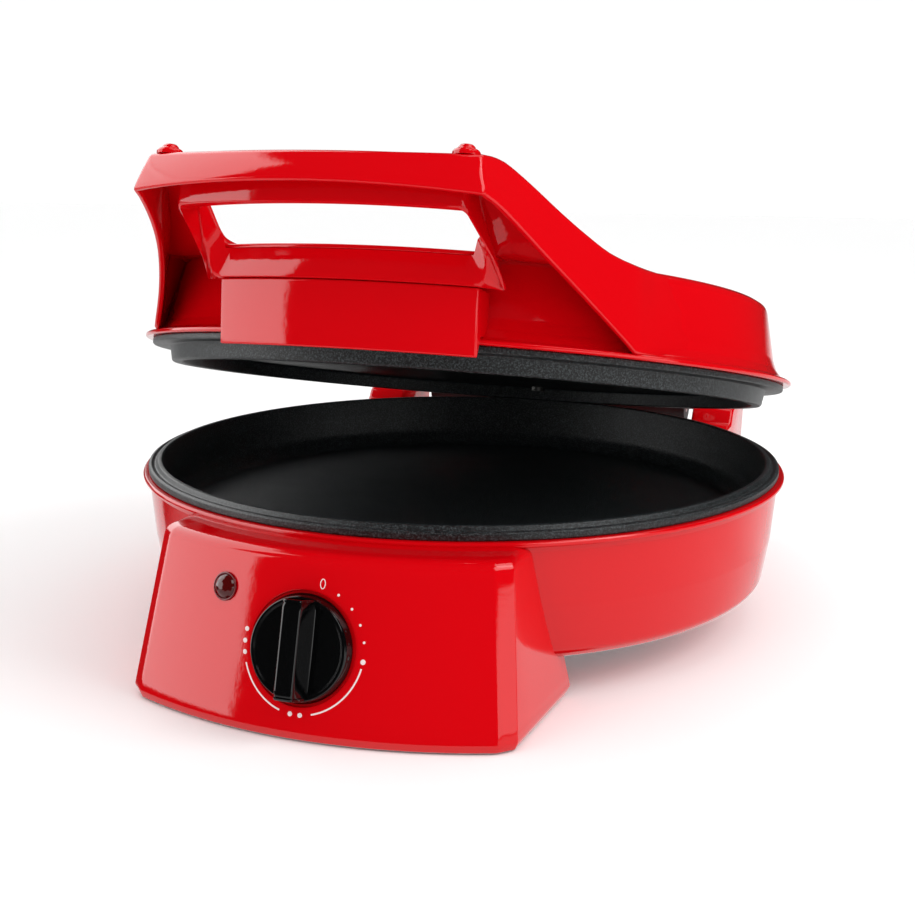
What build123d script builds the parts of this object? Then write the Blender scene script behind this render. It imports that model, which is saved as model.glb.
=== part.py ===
"""Electric pizza maker: a round countertop cooker with a hinged lid, modelled with the lid a little open.

Millimetres, +Z up, X to the right seen from the front, +Y to the back. The origin is on the table under
the middle of the cooker's footprint. The base is a round bowl with a housing for the controls at its
front and two hinge towers at its back. Everything on the lid is placed by the lid's own level plane, whose
origin is the middle of the lid's lip, turned about the hinge by the opening angle.
"""

from math import atan, cos, degrees, radians, sin, sqrt, tan
import os

from build123d import *

# Round body
lip_radius = 168.0
lip_thickness = 2.5
lip_top = 76.7
wall = 2.5
lip_overhang = 3.2
bowl_taper = 4.7
bowl_top_radius = lip_radius - lip_overhang
bowl_low_radius = bowl_top_radius - bowl_taper
bowl_bottom = 20.0
bowl_edge_round = 5.0
floor_flange = 42.1
floor_opening_radius = bowl_low_radius - floor_flange

# Cooking pan
pan_rim_overlap = 0.4
pan_rim_width = 7.0
pan_taper = 10.2
pan_rim_radius = bowl_top_radius + pan_rim_overlap
pan_mouth_radius = pan_rim_radius - pan_rim_width
pan_rim_height = 5.7
pan_floor_radius = pan_mouth_radius - pan_taper
pan_depth = 29.4
pan_floor_thickness = 3.5

# Front housing, a cone face about its own centre line
face_centre_shift = 5.8
face_reach = 45.7
face_fall = 20.9
face_low_radius = lip_radius + face_reach
face_high_radius = face_low_radius - face_fall
housing_height = 74.6
skirt_gap = 0.8
face_low_half = 83.5
face_high_half = 74.6
housing_low_half = 89.5
housing_high_half = 80.8
housing_rear_half = 94.0
corner_depth = 6.5
housing_lap = 9.6
housing_rear_radius = bowl_low_radius - housing_lap
housing_rear_y = -lip_radius * 2 / 3
post_radius = 5.0
post_half = 81.3
post_depth = 32.1
post_y = post_depth - face_low_radius

# Hinge
hinge_reach = 20.0
hinge_y = lip_radius + hinge_reach
hinge_height = 79.5
pin_radius = 2.5
running_gap = 0.05
tower_round = 13.5
tower_gap = 9.5
tower_width = 25.0
tower_wall = 3.0
tower_length = 72.0
tower_front = hinge_y - tower_length
tower_low = 42.0
barrel_radius = 10.5
barrel_half = 86.5
tower_inner = barrel_half + tower_gap
tower_outer = tower_inner + tower_width
bush_wall = 2.0
bush_length = 18.0
opening_angle = 12.15

# Lid shell, heights above the lid's lip plane
closed_lip_height = 86.0
lid_lip_thickness = 2.2
lid_lip_width = 7.0
drum_taper = 7.3
drum_edge_width = 4.2
drum_low_radius = lip_radius - lid_lip_width
drum_high_radius = drum_low_radius - drum_taper
drum_shoulder = 36.0
drum_edge_radius = drum_high_radius - drum_edge_width
drum_edge_height = 40.2
drum_crown = 45.5
lid_mouth_wall = 4.5
lid_opening_radius = drum_low_radius - lid_mouth_wall
deck_height = 39.7
pad_width = 40.0
pad_centre = 60.0
pad_top = 20.0
knuckle_sheet = 4.0

# Handle, heights above the lid's lip plane and radii about the lid's axis
bar_low_height = 52.0
bar_high_height = 67.3
bar_top_height = 68.6
window_gap = 5.8
window_depth = 19.2
bar_depth = 30.5
bar_lean = 7.9
window_rear_radius = lip_radius + window_gap
bar_back_radius = window_rear_radius + window_depth
bar_low_radius = bar_back_radius + bar_depth
bar_high_radius = bar_low_radius - bar_lean
cheek_tip = (76.4, -211.0)
cheek_middle = (93.3, -163.0)
cheek_foot = (117.0, -122.5)
cheek_shoulder = (142.0, -74.6)
cheek_draft = 3.0
crease_middle = (-163.0, 30.8)
arm_slope_run = 69.0
arm_slope_start = -bar_back_radius
arm_slope_end = arm_slope_start + arm_slope_run
handle_wall = 2.8
window_half = 60.3

# Handle liner and the apron below it
liner_wall = 2.6
liner_lip_depth = 14.0
liner_lip_radius = bar_back_radius + liner_lip_depth
liner_front_height = 48.0
liner_slope = 0.558
apron_wall = 2.8
apron_half = 59.0
apron_drop = 5.5
apron_top = 22.5
liner_screw_x = 40.0
liner_screw_inset = 3.5
liner_screw_ring = lip_radius - liner_screw_inset
tab_half = 7.0

# Rest feet on the handle
cap_half = 63.2
cap_inset = 5.5
cap_y = -bar_back_radius - cap_inset
cap_radius = 6.0
cap_height = 4.4
cap_brim_height = 2.0
cap_crown_radius = 3.6
cap_stem_radius = 2.0

# Upper plate, heights above the lid's lip plane
flange_inset = 3.7
flange_radius = lip_radius - flange_inset
flange_thickness = 3.0
plate_thickness = 4.0
plate_rise = 0.8
ring_depth = 10.9
ring_clearance = 2.6
ring_taper = 1.4
ring_wall = 5.7
ring_top_radius = pan_mouth_radius - ring_clearance
ring_low_radius = ring_top_radius - ring_taper
ring_inner_radius = ring_low_radius - ring_wall

# Fixings and sheets
tie_inset = 11.0
tie_radius = pan_floor_radius - tie_inset
tie_angles = (90, 210, 330)
screw_radius = 1.9
screw_clearance = 0.25
screw_head_radius = 3.6
screw_head_height = 2.4
screw_bite = 8.0
post_screw_bite = 14.0
spacer_radius = 4.6
boss_radius = 5.0
reflector_sheet = 0.8
reflector_height = 34.0
reflector_inset = 5.0
reflector_radius = pan_floor_radius - reflector_inset
reflector_notch = (44.0, 30.0)
upper_reflector_height = 14.0
upper_reflector_inset = 11.0
upper_boss_inset = 7.0
upper_reflector_radius = tie_radius - upper_reflector_inset
upper_boss_ring = upper_reflector_radius - upper_boss_inset
cover_sheet = 2.5
cover_lap = 9.0
cover_radius = floor_opening_radius + cover_lap
cover_screw_ring = floor_opening_radius + cover_lap / 2
cover_screw_turn = 20.0
cover_height = 3.0
vent_length = 30.0
vent_width = 4.0
vent_ring = 60.0

# Heating elements
heater_inset = 37.0
heater_radius = tie_radius - heater_inset
heater_tube = 3.25
heater_gap = 62.0
terminal_radius = 3.1
terminal_length = 12.0
terminal_pin_radius = 1.6
terminal_pin_length = 9.0
clip_width = 10.0
clip_sheet = 1.0
clip_half = 6.5
clip_angles = (30, 150, 270)

# Feet
rear_leg_radius = 9.0
rear_leg_inset = 22.6
rear_leg_ring = bowl_low_radius - rear_leg_inset
rear_leg_angles = (40, 140)
foot_radius = 7.5
foot_height = 3.0
front_foot_half = 66.0
front_foot_depth = 48.7
front_foot_y = front_foot_depth - face_low_radius

# Controls, measured up the sloping face
dial_up = 38.6
dial_well_radius = 23.7
dial_well_depth = 2.0
dial_boss_radius = 26.5
dial_boss_depth = 4.6
knob_radius = 22.6
knob_face_radius = 20.9
knob_face_height = 3.0
knob_rim_height = 3.6
knob_rim_width = 1.4
knob_wall = 2.0
knob_gap = 0.8
knob_bar_width = 8.0
knob_bar_foot = 12.0
knob_bar_half = 20.4
knob_top = 13.0
knob_hub_radius = 6.0
knob_bore_top = 9.5
shaft_radius = 3.0
shaft_hole_gap = 0.6
shaft_depth = 14.0
thermostat_radius = 17.0
thermostat_depth = 24.0
bracket_length = 44.0
bracket_width = 18.0
bracket_sheet = 1.3
bracket_screw_half = 14.0
bracket_head_height = 1.0
lamp_turn = 11.4
lamp_up = 58.6
lamp_radius = 6.1
lamp_flange = 0.9
lamp_dome_radius = 5.2
lamp_dome_height = 2.5
lamp_stem_radius = 4.6
lamp_stem_length = 3.4
lamp_body_radius = 5.2
lamp_body_length = 20.0

# Inside the base
terminal_block_size = (34.0, 18.0, 12.0)
terminal_block_inset = 3.0
terminal_block_y = heater_radius - terminal_block_inset
block_wire_half = 6.0
wire_radius = 1.3
wire_height = 26.0
lid_lead_rise = 4.0
lid_lead_run = 52.0
fuse_radius = 2.4
fuse_length = 18.0
fuse_y = 40.0
gland_radius = 6.0
gland_bore = 3.6
gland_flange_radius = 8.5
gland_flange_sheet = 2.5
gland_seat = 3.5
gland_height = 44.0
gland_reach = 9.0
gland_turn = 25.0
fit_gap = 0.3

# Places worked out from the sizes above
face_slope = degrees(atan((face_low_radius - face_high_radius) / housing_height))
face_sin, face_cos = sin(radians(face_slope)), cos(radians(face_slope))
dial_height = dial_up * face_cos
dial_y = face_centre_shift - (face_low_radius - dial_up * face_sin)
front_reach = -dial_y + knob_top * face_cos + knob_bar_half * face_sin
rear_reach = hinge_y + tower_round
pan_y = (front_reach - rear_reach) / 2
pan_base = lip_top + pan_rim_height - pan_depth
pan_under = pan_base - pan_floor_thickness
open_cos, open_sin = cos(radians(opening_angle)), sin(radians(opening_angle))
lid_rise = closed_lip_height - hinge_height
lid_y = hinge_y * (1 - open_cos) + lid_rise * open_sin + pan_y
lid_z = hinge_height + hinge_y * open_sin + lid_rise * open_cos
pad_face = hinge_y - barrel_radius - knuckle_sheet - 1.0

# Planes that the pieces are drawn on
bowl_axis = Axis((0, pan_y, 0), (0, 0, 1))
bowl_section = Plane((0, pan_y, 0), x_dir=(1, 0, 0), z_dir=(0, -1, 0))
bowl_side = Plane((0, pan_y, 0), x_dir=(0, 1, 0), z_dir=(1, 0, 0))
lid_up = Vector(0, open_sin, open_cos)
lid_back = Vector(0, open_cos, -open_sin)
lid_origin = Vector(0, lid_y, lid_z)
lid_axis = Axis(lid_origin, lid_up)
lid_section = Plane(lid_origin, x_dir=(1, 0, 0), z_dir=-lid_back)
lid_side = Plane(lid_origin, x_dir=lid_back, z_dir=(1, 0, 0))
dial_plane = Plane((0, pan_y + dial_y, dial_height), x_dir=(1, 0, 0), z_dir=(0, -face_cos, face_sin))
dial_section = Plane(dial_plane.origin, x_dir=(1, 0, 0), z_dir=-dial_plane.y_dir)
dial_axis = Axis(dial_plane.origin, dial_plane.z_dir)


def bowl_level(height):
    """A level plane of the base, on the bowl's axis."""
    return Plane((0, pan_y, height))


def lid_level(height):
    """A plane of the lid, parallel to its lip and on its axis."""
    return Plane(lid_origin + lid_up * height, x_dir=(1, 0, 0), z_dir=lid_up)


def lid_rear(depth):
    """An upright plane of the lid that faces back, with its Y pointing down."""
    return Plane(lid_origin + lid_back * depth, x_dir=(1, 0, 0), z_dir=lid_back)


def polar(radius, angle):
    """The point of a circle at an angle in degrees from +X."""
    return radius * cos(radians(angle)), radius * sin(radians(angle))


def chord_y(radius, x):
    """How far forward of its centre a circle lies at a given x."""
    return -sqrt(radius * radius - x * x)


def turned(profile, section, axis):
    """A ring or disc turned from a closed outline of radii and heights."""
    with BuildPart() as ring:
        with BuildSketch(section):
            with BuildLine():
                Polyline(*profile, close=True)
            make_face()
        revolve(axis=axis)
    return ring.part


def rods(plane, length, radius, places):
    """Round rods of one size that stand on a plane."""
    with BuildPart() as group:
        with BuildSketch(plane):
            with Locations(*places):
                Circle(radius)
        extrude(amount=length)
    return group.part


def prism(plane, outline, length):
    """A straight prism on both sides of a plane."""
    with BuildPart() as block:
        with BuildSketch(plane):
            with BuildLine():
                Polyline(*outline, close=True)
            make_face()
        extrude(amount=length, both=True)
    return block.part


def front_sector(level, length, outer, inner, half):
    """The front part of a ring between two radii, cut off at a half width."""
    far_y, near_y = chord_y(outer, half), chord_y(inner, half)
    with BuildPart() as sector:
        with BuildSketch(level):
            with BuildLine():
                ThreePointArc((-half, far_y), (0, -outer), (half, far_y))
                Line((half, far_y), (half, near_y))
                ThreePointArc((half, near_y), (0, -inner), (-half, near_y))
                Line((-half, near_y), (-half, far_y))
            make_face()
        extrude(amount=length)
    return sector.part


def tube(points, bend, radius):
    """A round wire along straight runs that are joined by arcs."""
    with BuildPart() as wire:
        with BuildLine() as path:
            FilletPolyline(*points, radius=bend)
        with BuildSketch(Plane(path.line @ 0, z_dir=path.line % 0)):
            Circle(radius)
        sweep(path=path.line)
    return wire.part


def write(piece, label):
    """Names a finished piece and writes its file."""
    piece.part.label = label
    export_step(piece.part, f"parts/{label}.step")


os.makedirs("parts", exist_ok=True)

# Base shell: bowl, front housing, hinge towers and rear legs


def housing_block(low, high, inset):
    """The front housing between two heights, its walls drawn in by an inset."""
    with BuildPart() as block:
        for height in (low, high):
            share = height / housing_height
            radius = face_low_radius + (face_high_radius - face_low_radius) * share - inset
            half = face_low_half + (face_high_half - face_low_half) * share - inset * 0.6
            side = housing_low_half + (housing_high_half - housing_low_half) * share - inset
            rear = housing_rear_half + (housing_high_half - housing_rear_half) * share - inset
            front = face_centre_shift + chord_y(radius, half)
            with BuildSketch(bowl_level(height)):
                with BuildLine():
                    face = ThreePointArc((-half, front), (0, face_centre_shift - radius), (half, front))
                    Polyline(face @ 1, (side, front + corner_depth), (rear, housing_rear_y),
                             (-rear, housing_rear_y), (-side, front + corner_depth), face @ 0)
                make_face()
        loft(ruled=True)
    return block.part


bowl_knee = bowl_bottom + 8
bowl_profile = [(0, bowl_bottom), (bowl_low_radius - 2 * bowl_edge_round, bowl_bottom),
                (bowl_low_radius - bowl_edge_round / 2, bowl_bottom + bowl_edge_round / 2),
                (bowl_low_radius, bowl_knee), (bowl_low_radius + 2.4, bowl_knee + 16),
                (bowl_top_radius, lip_top - lip_thickness), (lip_radius, lip_top - lip_thickness),
                (lip_radius, lip_top), (0, lip_top)]
bowl_space_profile = [(0, bowl_bottom - 1), (floor_opening_radius, bowl_bottom - 1),
                      (floor_opening_radius, bowl_bottom + wall),
                      (bowl_low_radius - wall - bowl_edge_round, bowl_bottom + wall),
                      (bowl_low_radius - wall, bowl_knee), (bowl_low_radius + 2.4 - wall, bowl_knee + 16),
                      (bowl_top_radius - wall, lip_top + 1), (0, lip_top + 1)]
tower_profile = [(tower_front, tower_low), (tower_front, lip_top - 1), (tower_front + 32, lip_top),
                 (hinge_y - 9, hinge_height + tower_round - 1.5), (hinge_y, hinge_height + tower_round),
                 (hinge_y + tower_round, hinge_height), (hinge_y + tower_round - 4, hinge_height - 20),
                 (hinge_y - 25, tower_low)]
tower_pocket = [(hinge_y - 40, tower_low - 1), (hinge_y - 40, lip_top - tower_wall),
                (hinge_y - 16, hinge_height + 5), (hinge_y - 16, tower_low - 1)]
tower_middle = (tower_inner + tower_outer) / 2
cover_post_places = [(side * post_half, post_y) for side in (-1, 1)]
cover_post_places += [polar(housing_rear_radius + post_radius + 1.5, angle) for angle in (250, 270, 290)]
tie_places = [polar(tie_radius, angle) for angle in tie_angles]
cover_screw_places = [polar(cover_screw_ring, cover_screw_turn + 90 * n) for n in range(4)]
bracket_screw_places = [(-bracket_screw_half, 0), (bracket_screw_half, 0)]
lamp_dir = Vector(-sin(radians(lamp_turn)), -cos(radians(lamp_turn)), 0)
lamp_out = lamp_dir * face_cos + Vector(0, 0, face_sin)
lamp_at = Vector(0, pan_y + face_centre_shift, lamp_up * face_cos)
lamp_at += lamp_dir * (face_low_radius - lamp_up * face_sin)
lamp_plane = Plane(lamp_at, x_dir=(cos(radians(lamp_turn)), -sin(radians(lamp_turn)), 0), z_dir=lamp_out)
gland_dir = Vector(sin(radians(gland_turn)), cos(radians(gland_turn)), 0)
gland_plane = Plane((0, pan_y, gland_height), x_dir=(0, 0, 1), z_dir=gland_dir)

with BuildPart() as housing_space:
    add(housing_block(-1.0, housing_height - wall, wall))
    add(rods(bowl_level(-1.0), bowl_bottom + wall + 1.0, housing_rear_radius + wall, [(0, 0)]),
        mode=Mode.SUBTRACT)

with BuildPart() as base_shell:
    add(housing_block(skirt_gap, housing_height, 0.0))
    add(rods(bowl_level(0), bowl_bottom, housing_rear_radius, [(0, 0)]), mode=Mode.SUBTRACT)
    add(turned(bowl_profile, bowl_section, bowl_axis))
    for side in (1, -1):
        add(prism(bowl_side.offset(side * tower_middle), tower_profile, tower_width / 2))
        add(prism(bowl_side.offset(side * tower_middle), tower_pocket, tower_width / 2 - tower_wall),
            mode=Mode.SUBTRACT)
        add(rods(bowl_side.offset(side * (tower_inner - 1)), side * (tower_width - 1), pin_radius,
                 [(hinge_y, hinge_height)]), mode=Mode.SUBTRACT)
    add(turned(bowl_space_profile, bowl_section, bowl_axis), mode=Mode.SUBTRACT)
    add(housing_space.part, mode=Mode.SUBTRACT)
    # Posts that take the screws of the housing's cover
    add(rods(bowl_level(cover_height + cover_sheet), bowl_bottom - cover_height - cover_sheet + 1,
             post_radius, cover_post_places))
    add(rods(bowl_level(cover_height), bowl_bottom - cover_height - 2, screw_radius, cover_post_places),
        mode=Mode.SUBTRACT)
    # Flat seat for the knob, with a thicker boss behind it
    add(rods(dial_plane.offset(-dial_boss_depth), dial_boss_depth - dial_well_depth, dial_boss_radius,
             [(0, 0)]))
    add(rods(dial_plane.offset(-dial_well_depth), 2 * dial_well_depth, dial_well_radius, [(0, 0)]),
        mode=Mode.SUBTRACT)
    add(rods(dial_plane.offset(-2 * dial_boss_depth), 3 * dial_boss_depth, shaft_radius + shaft_hole_gap,
             [(0, 0)]), mode=Mode.SUBTRACT)
    add(rods(dial_plane.offset(-2 * dial_boss_depth), 3 * dial_boss_depth, screw_radius + screw_clearance,
             bracket_screw_places), mode=Mode.SUBTRACT)
    # Rear legs, and the holes of the long screws, of the cover's screws, of the lamp and of the gland
    add(rods(bowl_level(foot_height), bowl_bottom - foot_height + 1, rear_leg_radius,
             [polar(rear_leg_ring, angle) for angle in rear_leg_angles]))
    add(rods(bowl_level(bowl_bottom - 1), wall + 2, screw_radius + screw_clearance, tie_places),
        mode=Mode.SUBTRACT)
    add(rods(bowl_level(bowl_bottom - 1), wall + 2, screw_radius, cover_screw_places), mode=Mode.SUBTRACT)
    add(rods(lamp_plane.offset(-2 * wall), 4 * wall, lamp_stem_radius + fit_gap, [(0, 0)]),
        mode=Mode.SUBTRACT)
    add(rods(gland_plane.offset(bowl_low_radius - 12), 30, gland_radius, [(0, 0)]), mode=Mode.SUBTRACT)
write(base_shell, "base_shell")

with BuildPart() as housing_cover:
    add(housing_block(cover_height, cover_height + cover_sheet, wall + fit_gap))
    add(rods(bowl_level(0), bowl_bottom, housing_rear_radius + wall + fit_gap, [(0, 0)]),
        mode=Mode.SUBTRACT)
    add(rods(bowl_level(0), bowl_bottom, screw_radius + screw_clearance, cover_post_places),
        mode=Mode.SUBTRACT)
write(housing_cover, "housing_cover")

with BuildPart() as bottom_cover:
    with BuildSketch(bowl_level(bowl_bottom - cover_sheet)):
        Circle(cover_radius)
        with Locations(*cover_screw_places):
            Circle(screw_radius + screw_clearance, mode=Mode.SUBTRACT)
        with PolarLocations(vent_ring, 8):
            SlotOverall(vent_length, vent_width, mode=Mode.SUBTRACT)
    extrude(amount=cover_sheet)
write(bottom_cover, "bottom_cover")

with BuildPart() as cover_screws:
    add(rods(bowl_level(bowl_bottom - cover_sheet - screw_head_height), screw_head_height,
             screw_head_radius, cover_screw_places))
    add(rods(bowl_level(bowl_bottom - cover_sheet), cover_sheet + wall, screw_radius, cover_screw_places))
    add(rods(bowl_level(cover_height - screw_head_height), screw_head_height, screw_head_radius,
             cover_post_places))
    add(rods(bowl_level(cover_height), cover_sheet + screw_bite, screw_radius, cover_post_places))
write(cover_screws, "cover_screws")

with BuildPart() as front_feet:
    add(rods(bowl_level(0), foot_height, foot_radius,
             [(side * front_foot_half, front_foot_y) for side in (-1, 1)]))
write(front_feet, "front_feet")

with BuildPart() as rear_feet:
    add(rods(bowl_level(0), foot_height, foot_radius,
             [polar(rear_leg_ring, angle) for angle in rear_leg_angles]))
write(rear_feet, "rear_feet")

# Lower pan with what heats it and holds it

reflector_top = reflector_height + reflector_sheet
pan_rim_top = lip_top + pan_rim_height
pan_profile = [(0, pan_under), (pan_floor_radius + 0.5, pan_under),
               (pan_mouth_radius - 1, pan_under + 9), (pan_mouth_radius + 1, lip_top - 5),
               (pan_mouth_radius + 1.6, lip_top), (pan_rim_radius, lip_top),
               (pan_rim_radius, lip_top + 3.4), (pan_rim_radius - 1.5, lip_top + 3.9),
               (pan_mouth_radius + 3.4, lip_top + 3.5), (pan_mouth_radius + 2, pan_rim_top),
               (pan_mouth_radius + 0.6, pan_rim_top), (pan_mouth_radius, pan_rim_top - 0.8),
               (pan_mouth_radius - 2.2, pan_rim_top - 10), (pan_mouth_radius - 4, pan_base + 7),
               (pan_floor_radius, pan_base), (0, pan_base)]

with BuildPart() as lower_pan:
    add(turned(pan_profile, bowl_section, bowl_axis))
    add(rods(bowl_level(reflector_top), pan_under - reflector_top + 1, boss_radius, tie_places))
    add(rods(bowl_level(reflector_top), pan_under - reflector_top - 1, screw_radius, tie_places),
        mode=Mode.SUBTRACT)
write(lower_pan, "lower_pan")

with BuildPart() as pan_spacers:
    add(rods(bowl_level(bowl_bottom + wall), reflector_height - bowl_bottom - wall, spacer_radius,
             tie_places))
    add(rods(bowl_level(bowl_bottom), reflector_height, screw_radius + screw_clearance, tie_places),
        mode=Mode.SUBTRACT)
write(pan_spacers, "pan_spacers")

with BuildPart() as pan_tie_screws:
    add(rods(bowl_level(bowl_bottom - screw_head_height), screw_head_height, screw_head_radius, tie_places))
    add(rods(bowl_level(bowl_bottom), pan_under - 3 - bowl_bottom, screw_radius, tie_places))
write(pan_tie_screws, "pan_tie_screws")

with BuildPart() as lower_reflector:
    with BuildSketch(bowl_level(reflector_height)):
        Circle(reflector_radius)
        with Locations(*tie_places):
            Circle(screw_radius + screw_clearance, mode=Mode.SUBTRACT)
        with Locations((0, terminal_block_y + 4)):
            Rectangle(*reflector_notch, mode=Mode.SUBTRACT)
    extrude(amount=reflector_sheet)
write(lower_reflector, "lower_reflector")

gap_angle = degrees(heater_gap / heater_radius)


def heater_ring(level):
    """A round element on a level, open at the back."""
    with BuildPart() as element:
        with BuildLine(level) as path:
            CenterArc((0, 0), heater_radius, 90 + gap_angle / 2, 360 - gap_angle)
        with BuildSketch(Plane(path.line @ 0, z_dir=path.line % 0)):
            Circle(heater_tube)
        sweep(path=path.line)
    return element.part


def heater_end_plane(level, side):
    """The plane of one end of an element, which looks along the end."""
    angle = radians(90 + side * gap_angle / 2)
    place = level.origin + level.x_dir * (heater_radius * cos(angle))
    place += level.y_dir * (heater_radius * sin(angle))
    along = level.x_dir * (side * sin(angle)) - level.y_dir * (side * cos(angle))
    return Plane(place, x_dir=level.z_dir, z_dir=along)


def heater_ends(level):
    """The two sealed ends of an element with their pins."""
    with BuildPart() as ends:
        for side in (1, -1):
            end = heater_end_plane(level, side)
            add(rods(end, terminal_length, terminal_radius, [(0, 0)]))
            add(rods(end.offset(terminal_length), terminal_pin_length, terminal_pin_radius, [(0, 0)]))
    return ends.part


def heater_clips(level, seat):
    """Sheet bridges that hold an element to its plate, which lies above it for a seat of 1."""
    outer = heater_tube + clip_sheet + running_gap
    inner = clip_half - clip_sheet
    outline = [(-clip_half, heater_tube), (-clip_half, -outer), (clip_half, -outer), (clip_half, heater_tube),
               (inner, heater_tube), (inner, clip_sheet - outer), (-inner, clip_sheet - outer),
               (-inner, heater_tube)]
    bridge = [(across, seat * rise) for across, rise in outline]
    with BuildPart() as clips:
        for angle in clip_angles:
            outward = level.x_dir * cos(radians(angle)) + level.y_dir * sin(radians(angle))
            section = Plane(level.origin + outward * heater_radius, x_dir=outward,
                            z_dir=outward.cross(level.z_dir))
            add(prism(section, bridge, clip_width / 2))
    return clips.part


lower_level = bowl_level(pan_under - heater_tube)
with BuildPart() as lower_heater:
    add(heater_ring(lower_level))
write(lower_heater, "lower_heater")

with BuildPart() as lower_heater_ends:
    add(heater_ends(lower_level))
write(lower_heater_ends, "lower_heater_ends")

with BuildPart() as lower_heater_clips:
    add(heater_clips(lower_level, 1))
write(lower_heater_clips, "lower_heater_clips")

# Controls: knob, thermostat and pilot lamp

knob_base = knob_gap - dial_well_depth
knob_profile = [(knob_hub_radius, knob_base), (knob_hub_radius, knob_face_height - knob_wall),
                (knob_radius - knob_wall, knob_face_height - knob_wall), (knob_radius - knob_wall, knob_base),
                (knob_radius, knob_base), (knob_face_radius, knob_rim_height),
                (knob_face_radius - knob_rim_width, knob_rim_height),
                (knob_face_radius - knob_rim_width, knob_face_height), (0, knob_face_height), (0, knob_base)]
bracket_back = -dial_boss_depth - bracket_sheet
shaft_low = bracket_back - shaft_depth

with BuildPart() as knob:
    add(turned(knob_profile, dial_section, dial_axis))
    with BuildSketch(dial_plane.offset(knob_face_height)):
        Rectangle(knob_bar_foot, 2 * knob_bar_half)
    with BuildSketch(dial_plane.offset(knob_top)):
        Rectangle(knob_bar_width, 2 * knob_bar_half)
    loft()
    add(rods(dial_plane.offset(knob_base), knob_bore_top - knob_base, shaft_radius, [(0, 0)]),
        mode=Mode.SUBTRACT)
write(knob, "knob")

with BuildPart() as thermostat_shaft:
    add(rods(dial_plane.offset(shaft_low), knob_bore_top - shaft_low, shaft_radius, [(0, 0)]))
write(thermostat_shaft, "thermostat_shaft")

with BuildPart() as thermostat_bracket:
    with BuildSketch(dial_plane.offset(bracket_back)):
        RectangleRounded(bracket_length, bracket_width, 4)
        Circle(shaft_radius + shaft_hole_gap, mode=Mode.SUBTRACT)
        with Locations(*bracket_screw_places):
            Circle(screw_radius, mode=Mode.SUBTRACT)
    extrude(amount=bracket_sheet)
write(thermostat_bracket, "thermostat_bracket")

with BuildPart() as bracket_screws:
    add(rods(dial_plane.offset(-dial_well_depth), bracket_head_height, screw_head_radius,
             bracket_screw_places))
    add(rods(dial_plane.offset(bracket_back), -dial_well_depth - bracket_back, screw_radius,
             bracket_screw_places))
write(bracket_screws, "bracket_screws")

with BuildPart() as thermostat_body:
    add(rods(dial_plane.offset(bracket_back - thermostat_depth), thermostat_depth, thermostat_radius,
             [(0, 0)]))
    add(rods(dial_plane.offset(shaft_low - 1), shaft_depth + 1, shaft_radius + running_gap, [(0, 0)]),
        mode=Mode.SUBTRACT)
write(thermostat_body, "thermostat_body")

with BuildPart() as lamp_lens:
    add(rods(lamp_plane, lamp_flange, lamp_radius, [(0, 0)]))
    add(rods(lamp_plane.offset(-lamp_stem_length), lamp_stem_length, lamp_stem_radius, [(0, 0)]))
    with BuildSketch(lamp_plane.offset(lamp_flange)):
        Circle(lamp_dome_radius)
    with BuildSketch(lamp_plane.offset(lamp_flange + lamp_dome_height)):
        Circle(lamp_dome_radius / 2)
    loft()
write(lamp_lens, "lamp_lens")

with BuildPart() as lamp_body:
    add(rods(lamp_plane.offset(-lamp_stem_length - lamp_body_length), lamp_body_length, lamp_body_radius,
             [(0, 0)]))
write(lamp_body, "lamp_body")

# Mains parts inside the base

block_top = bowl_bottom + terminal_block_size[2]
block_front = pan_y + terminal_block_y - terminal_block_size[1] / 2
pin_reach = terminal_length + terminal_pin_length + wire_radius + fit_gap

with BuildPart() as terminal_block:
    with BuildSketch(bowl_level(bowl_bottom)):
        with Locations((0, terminal_block_y)):
            Rectangle(terminal_block_size[0], terminal_block_size[1])
    extrude(amount=terminal_block_size[2])
write(terminal_block, "terminal_block")

with BuildPart() as thermal_fuse:
    add(rods(bowl_side.offset(-fuse_length / 2), fuse_length, fuse_radius,
             [(fuse_y, reflector_height - fuse_radius)]))
write(thermal_fuse, "thermal_fuse")

with BuildPart() as base_wiring:
    body_back = dial_plane.origin + dial_plane.z_dir * (bracket_back - thermostat_depth)
    lamp_back = lamp_at - lamp_out * (lamp_stem_length + lamp_body_length + fit_gap)
    lamp_turning = lamp_back - lamp_out * 12
    start = block_front - fit_gap
    run_end = body_back.Y + 48
    add(tube([(-block_wire_half, start, wire_height), (-block_wire_half, run_end, wire_height),
              (-block_wire_half, body_back.Y + 18, body_back.Z),
              (-block_wire_half, body_back.Y + 2 * fit_gap, body_back.Z)], 20, wire_radius))
    add(tube([(block_wire_half, start, wire_height), (block_wire_half, run_end, wire_height),
              (lamp_turning.X + 12, lamp_turning.Y + 3, wire_height + 1), tuple(lamp_turning),
              tuple(lamp_back)], 5, wire_radius))
    for side in (1, -1):
        pin_end = heater_end_plane(lower_level, side).offset(pin_reach).origin
        riser = Plane((pin_end.X, pin_end.Y, block_top + fit_gap))
        add(rods(riser, pin_end.Z + terminal_pin_radius - block_top - fit_gap, wire_radius, [(0, 0)]))
write(base_wiring, "base_wiring")

with BuildPart() as cord_gland:
    add(rods(gland_plane.offset(bowl_low_radius - 4), 4 + gland_reach, gland_radius, [(0, 0)]))
    add(rods(gland_plane.offset(bowl_low_radius + gland_seat), gland_flange_sheet, gland_flange_radius,
             [(0, 0)]))
    add(rods(gland_plane.offset(bowl_low_radius - 5), 8 + gland_reach, gland_bore, [(0, 0)]),
        mode=Mode.SUBTRACT)
write(cord_gland, "cord_gland")

# Hinge

bush_radius = pin_radius + bush_wall
pin_start = barrel_half - bush_length + 2
hinge_drop = -lid_rise
knuckle_places = [(side * (pad_centre + shift), 6 - pad_top) for side in (-1, 1) for shift in (-12, 12)]

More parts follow.
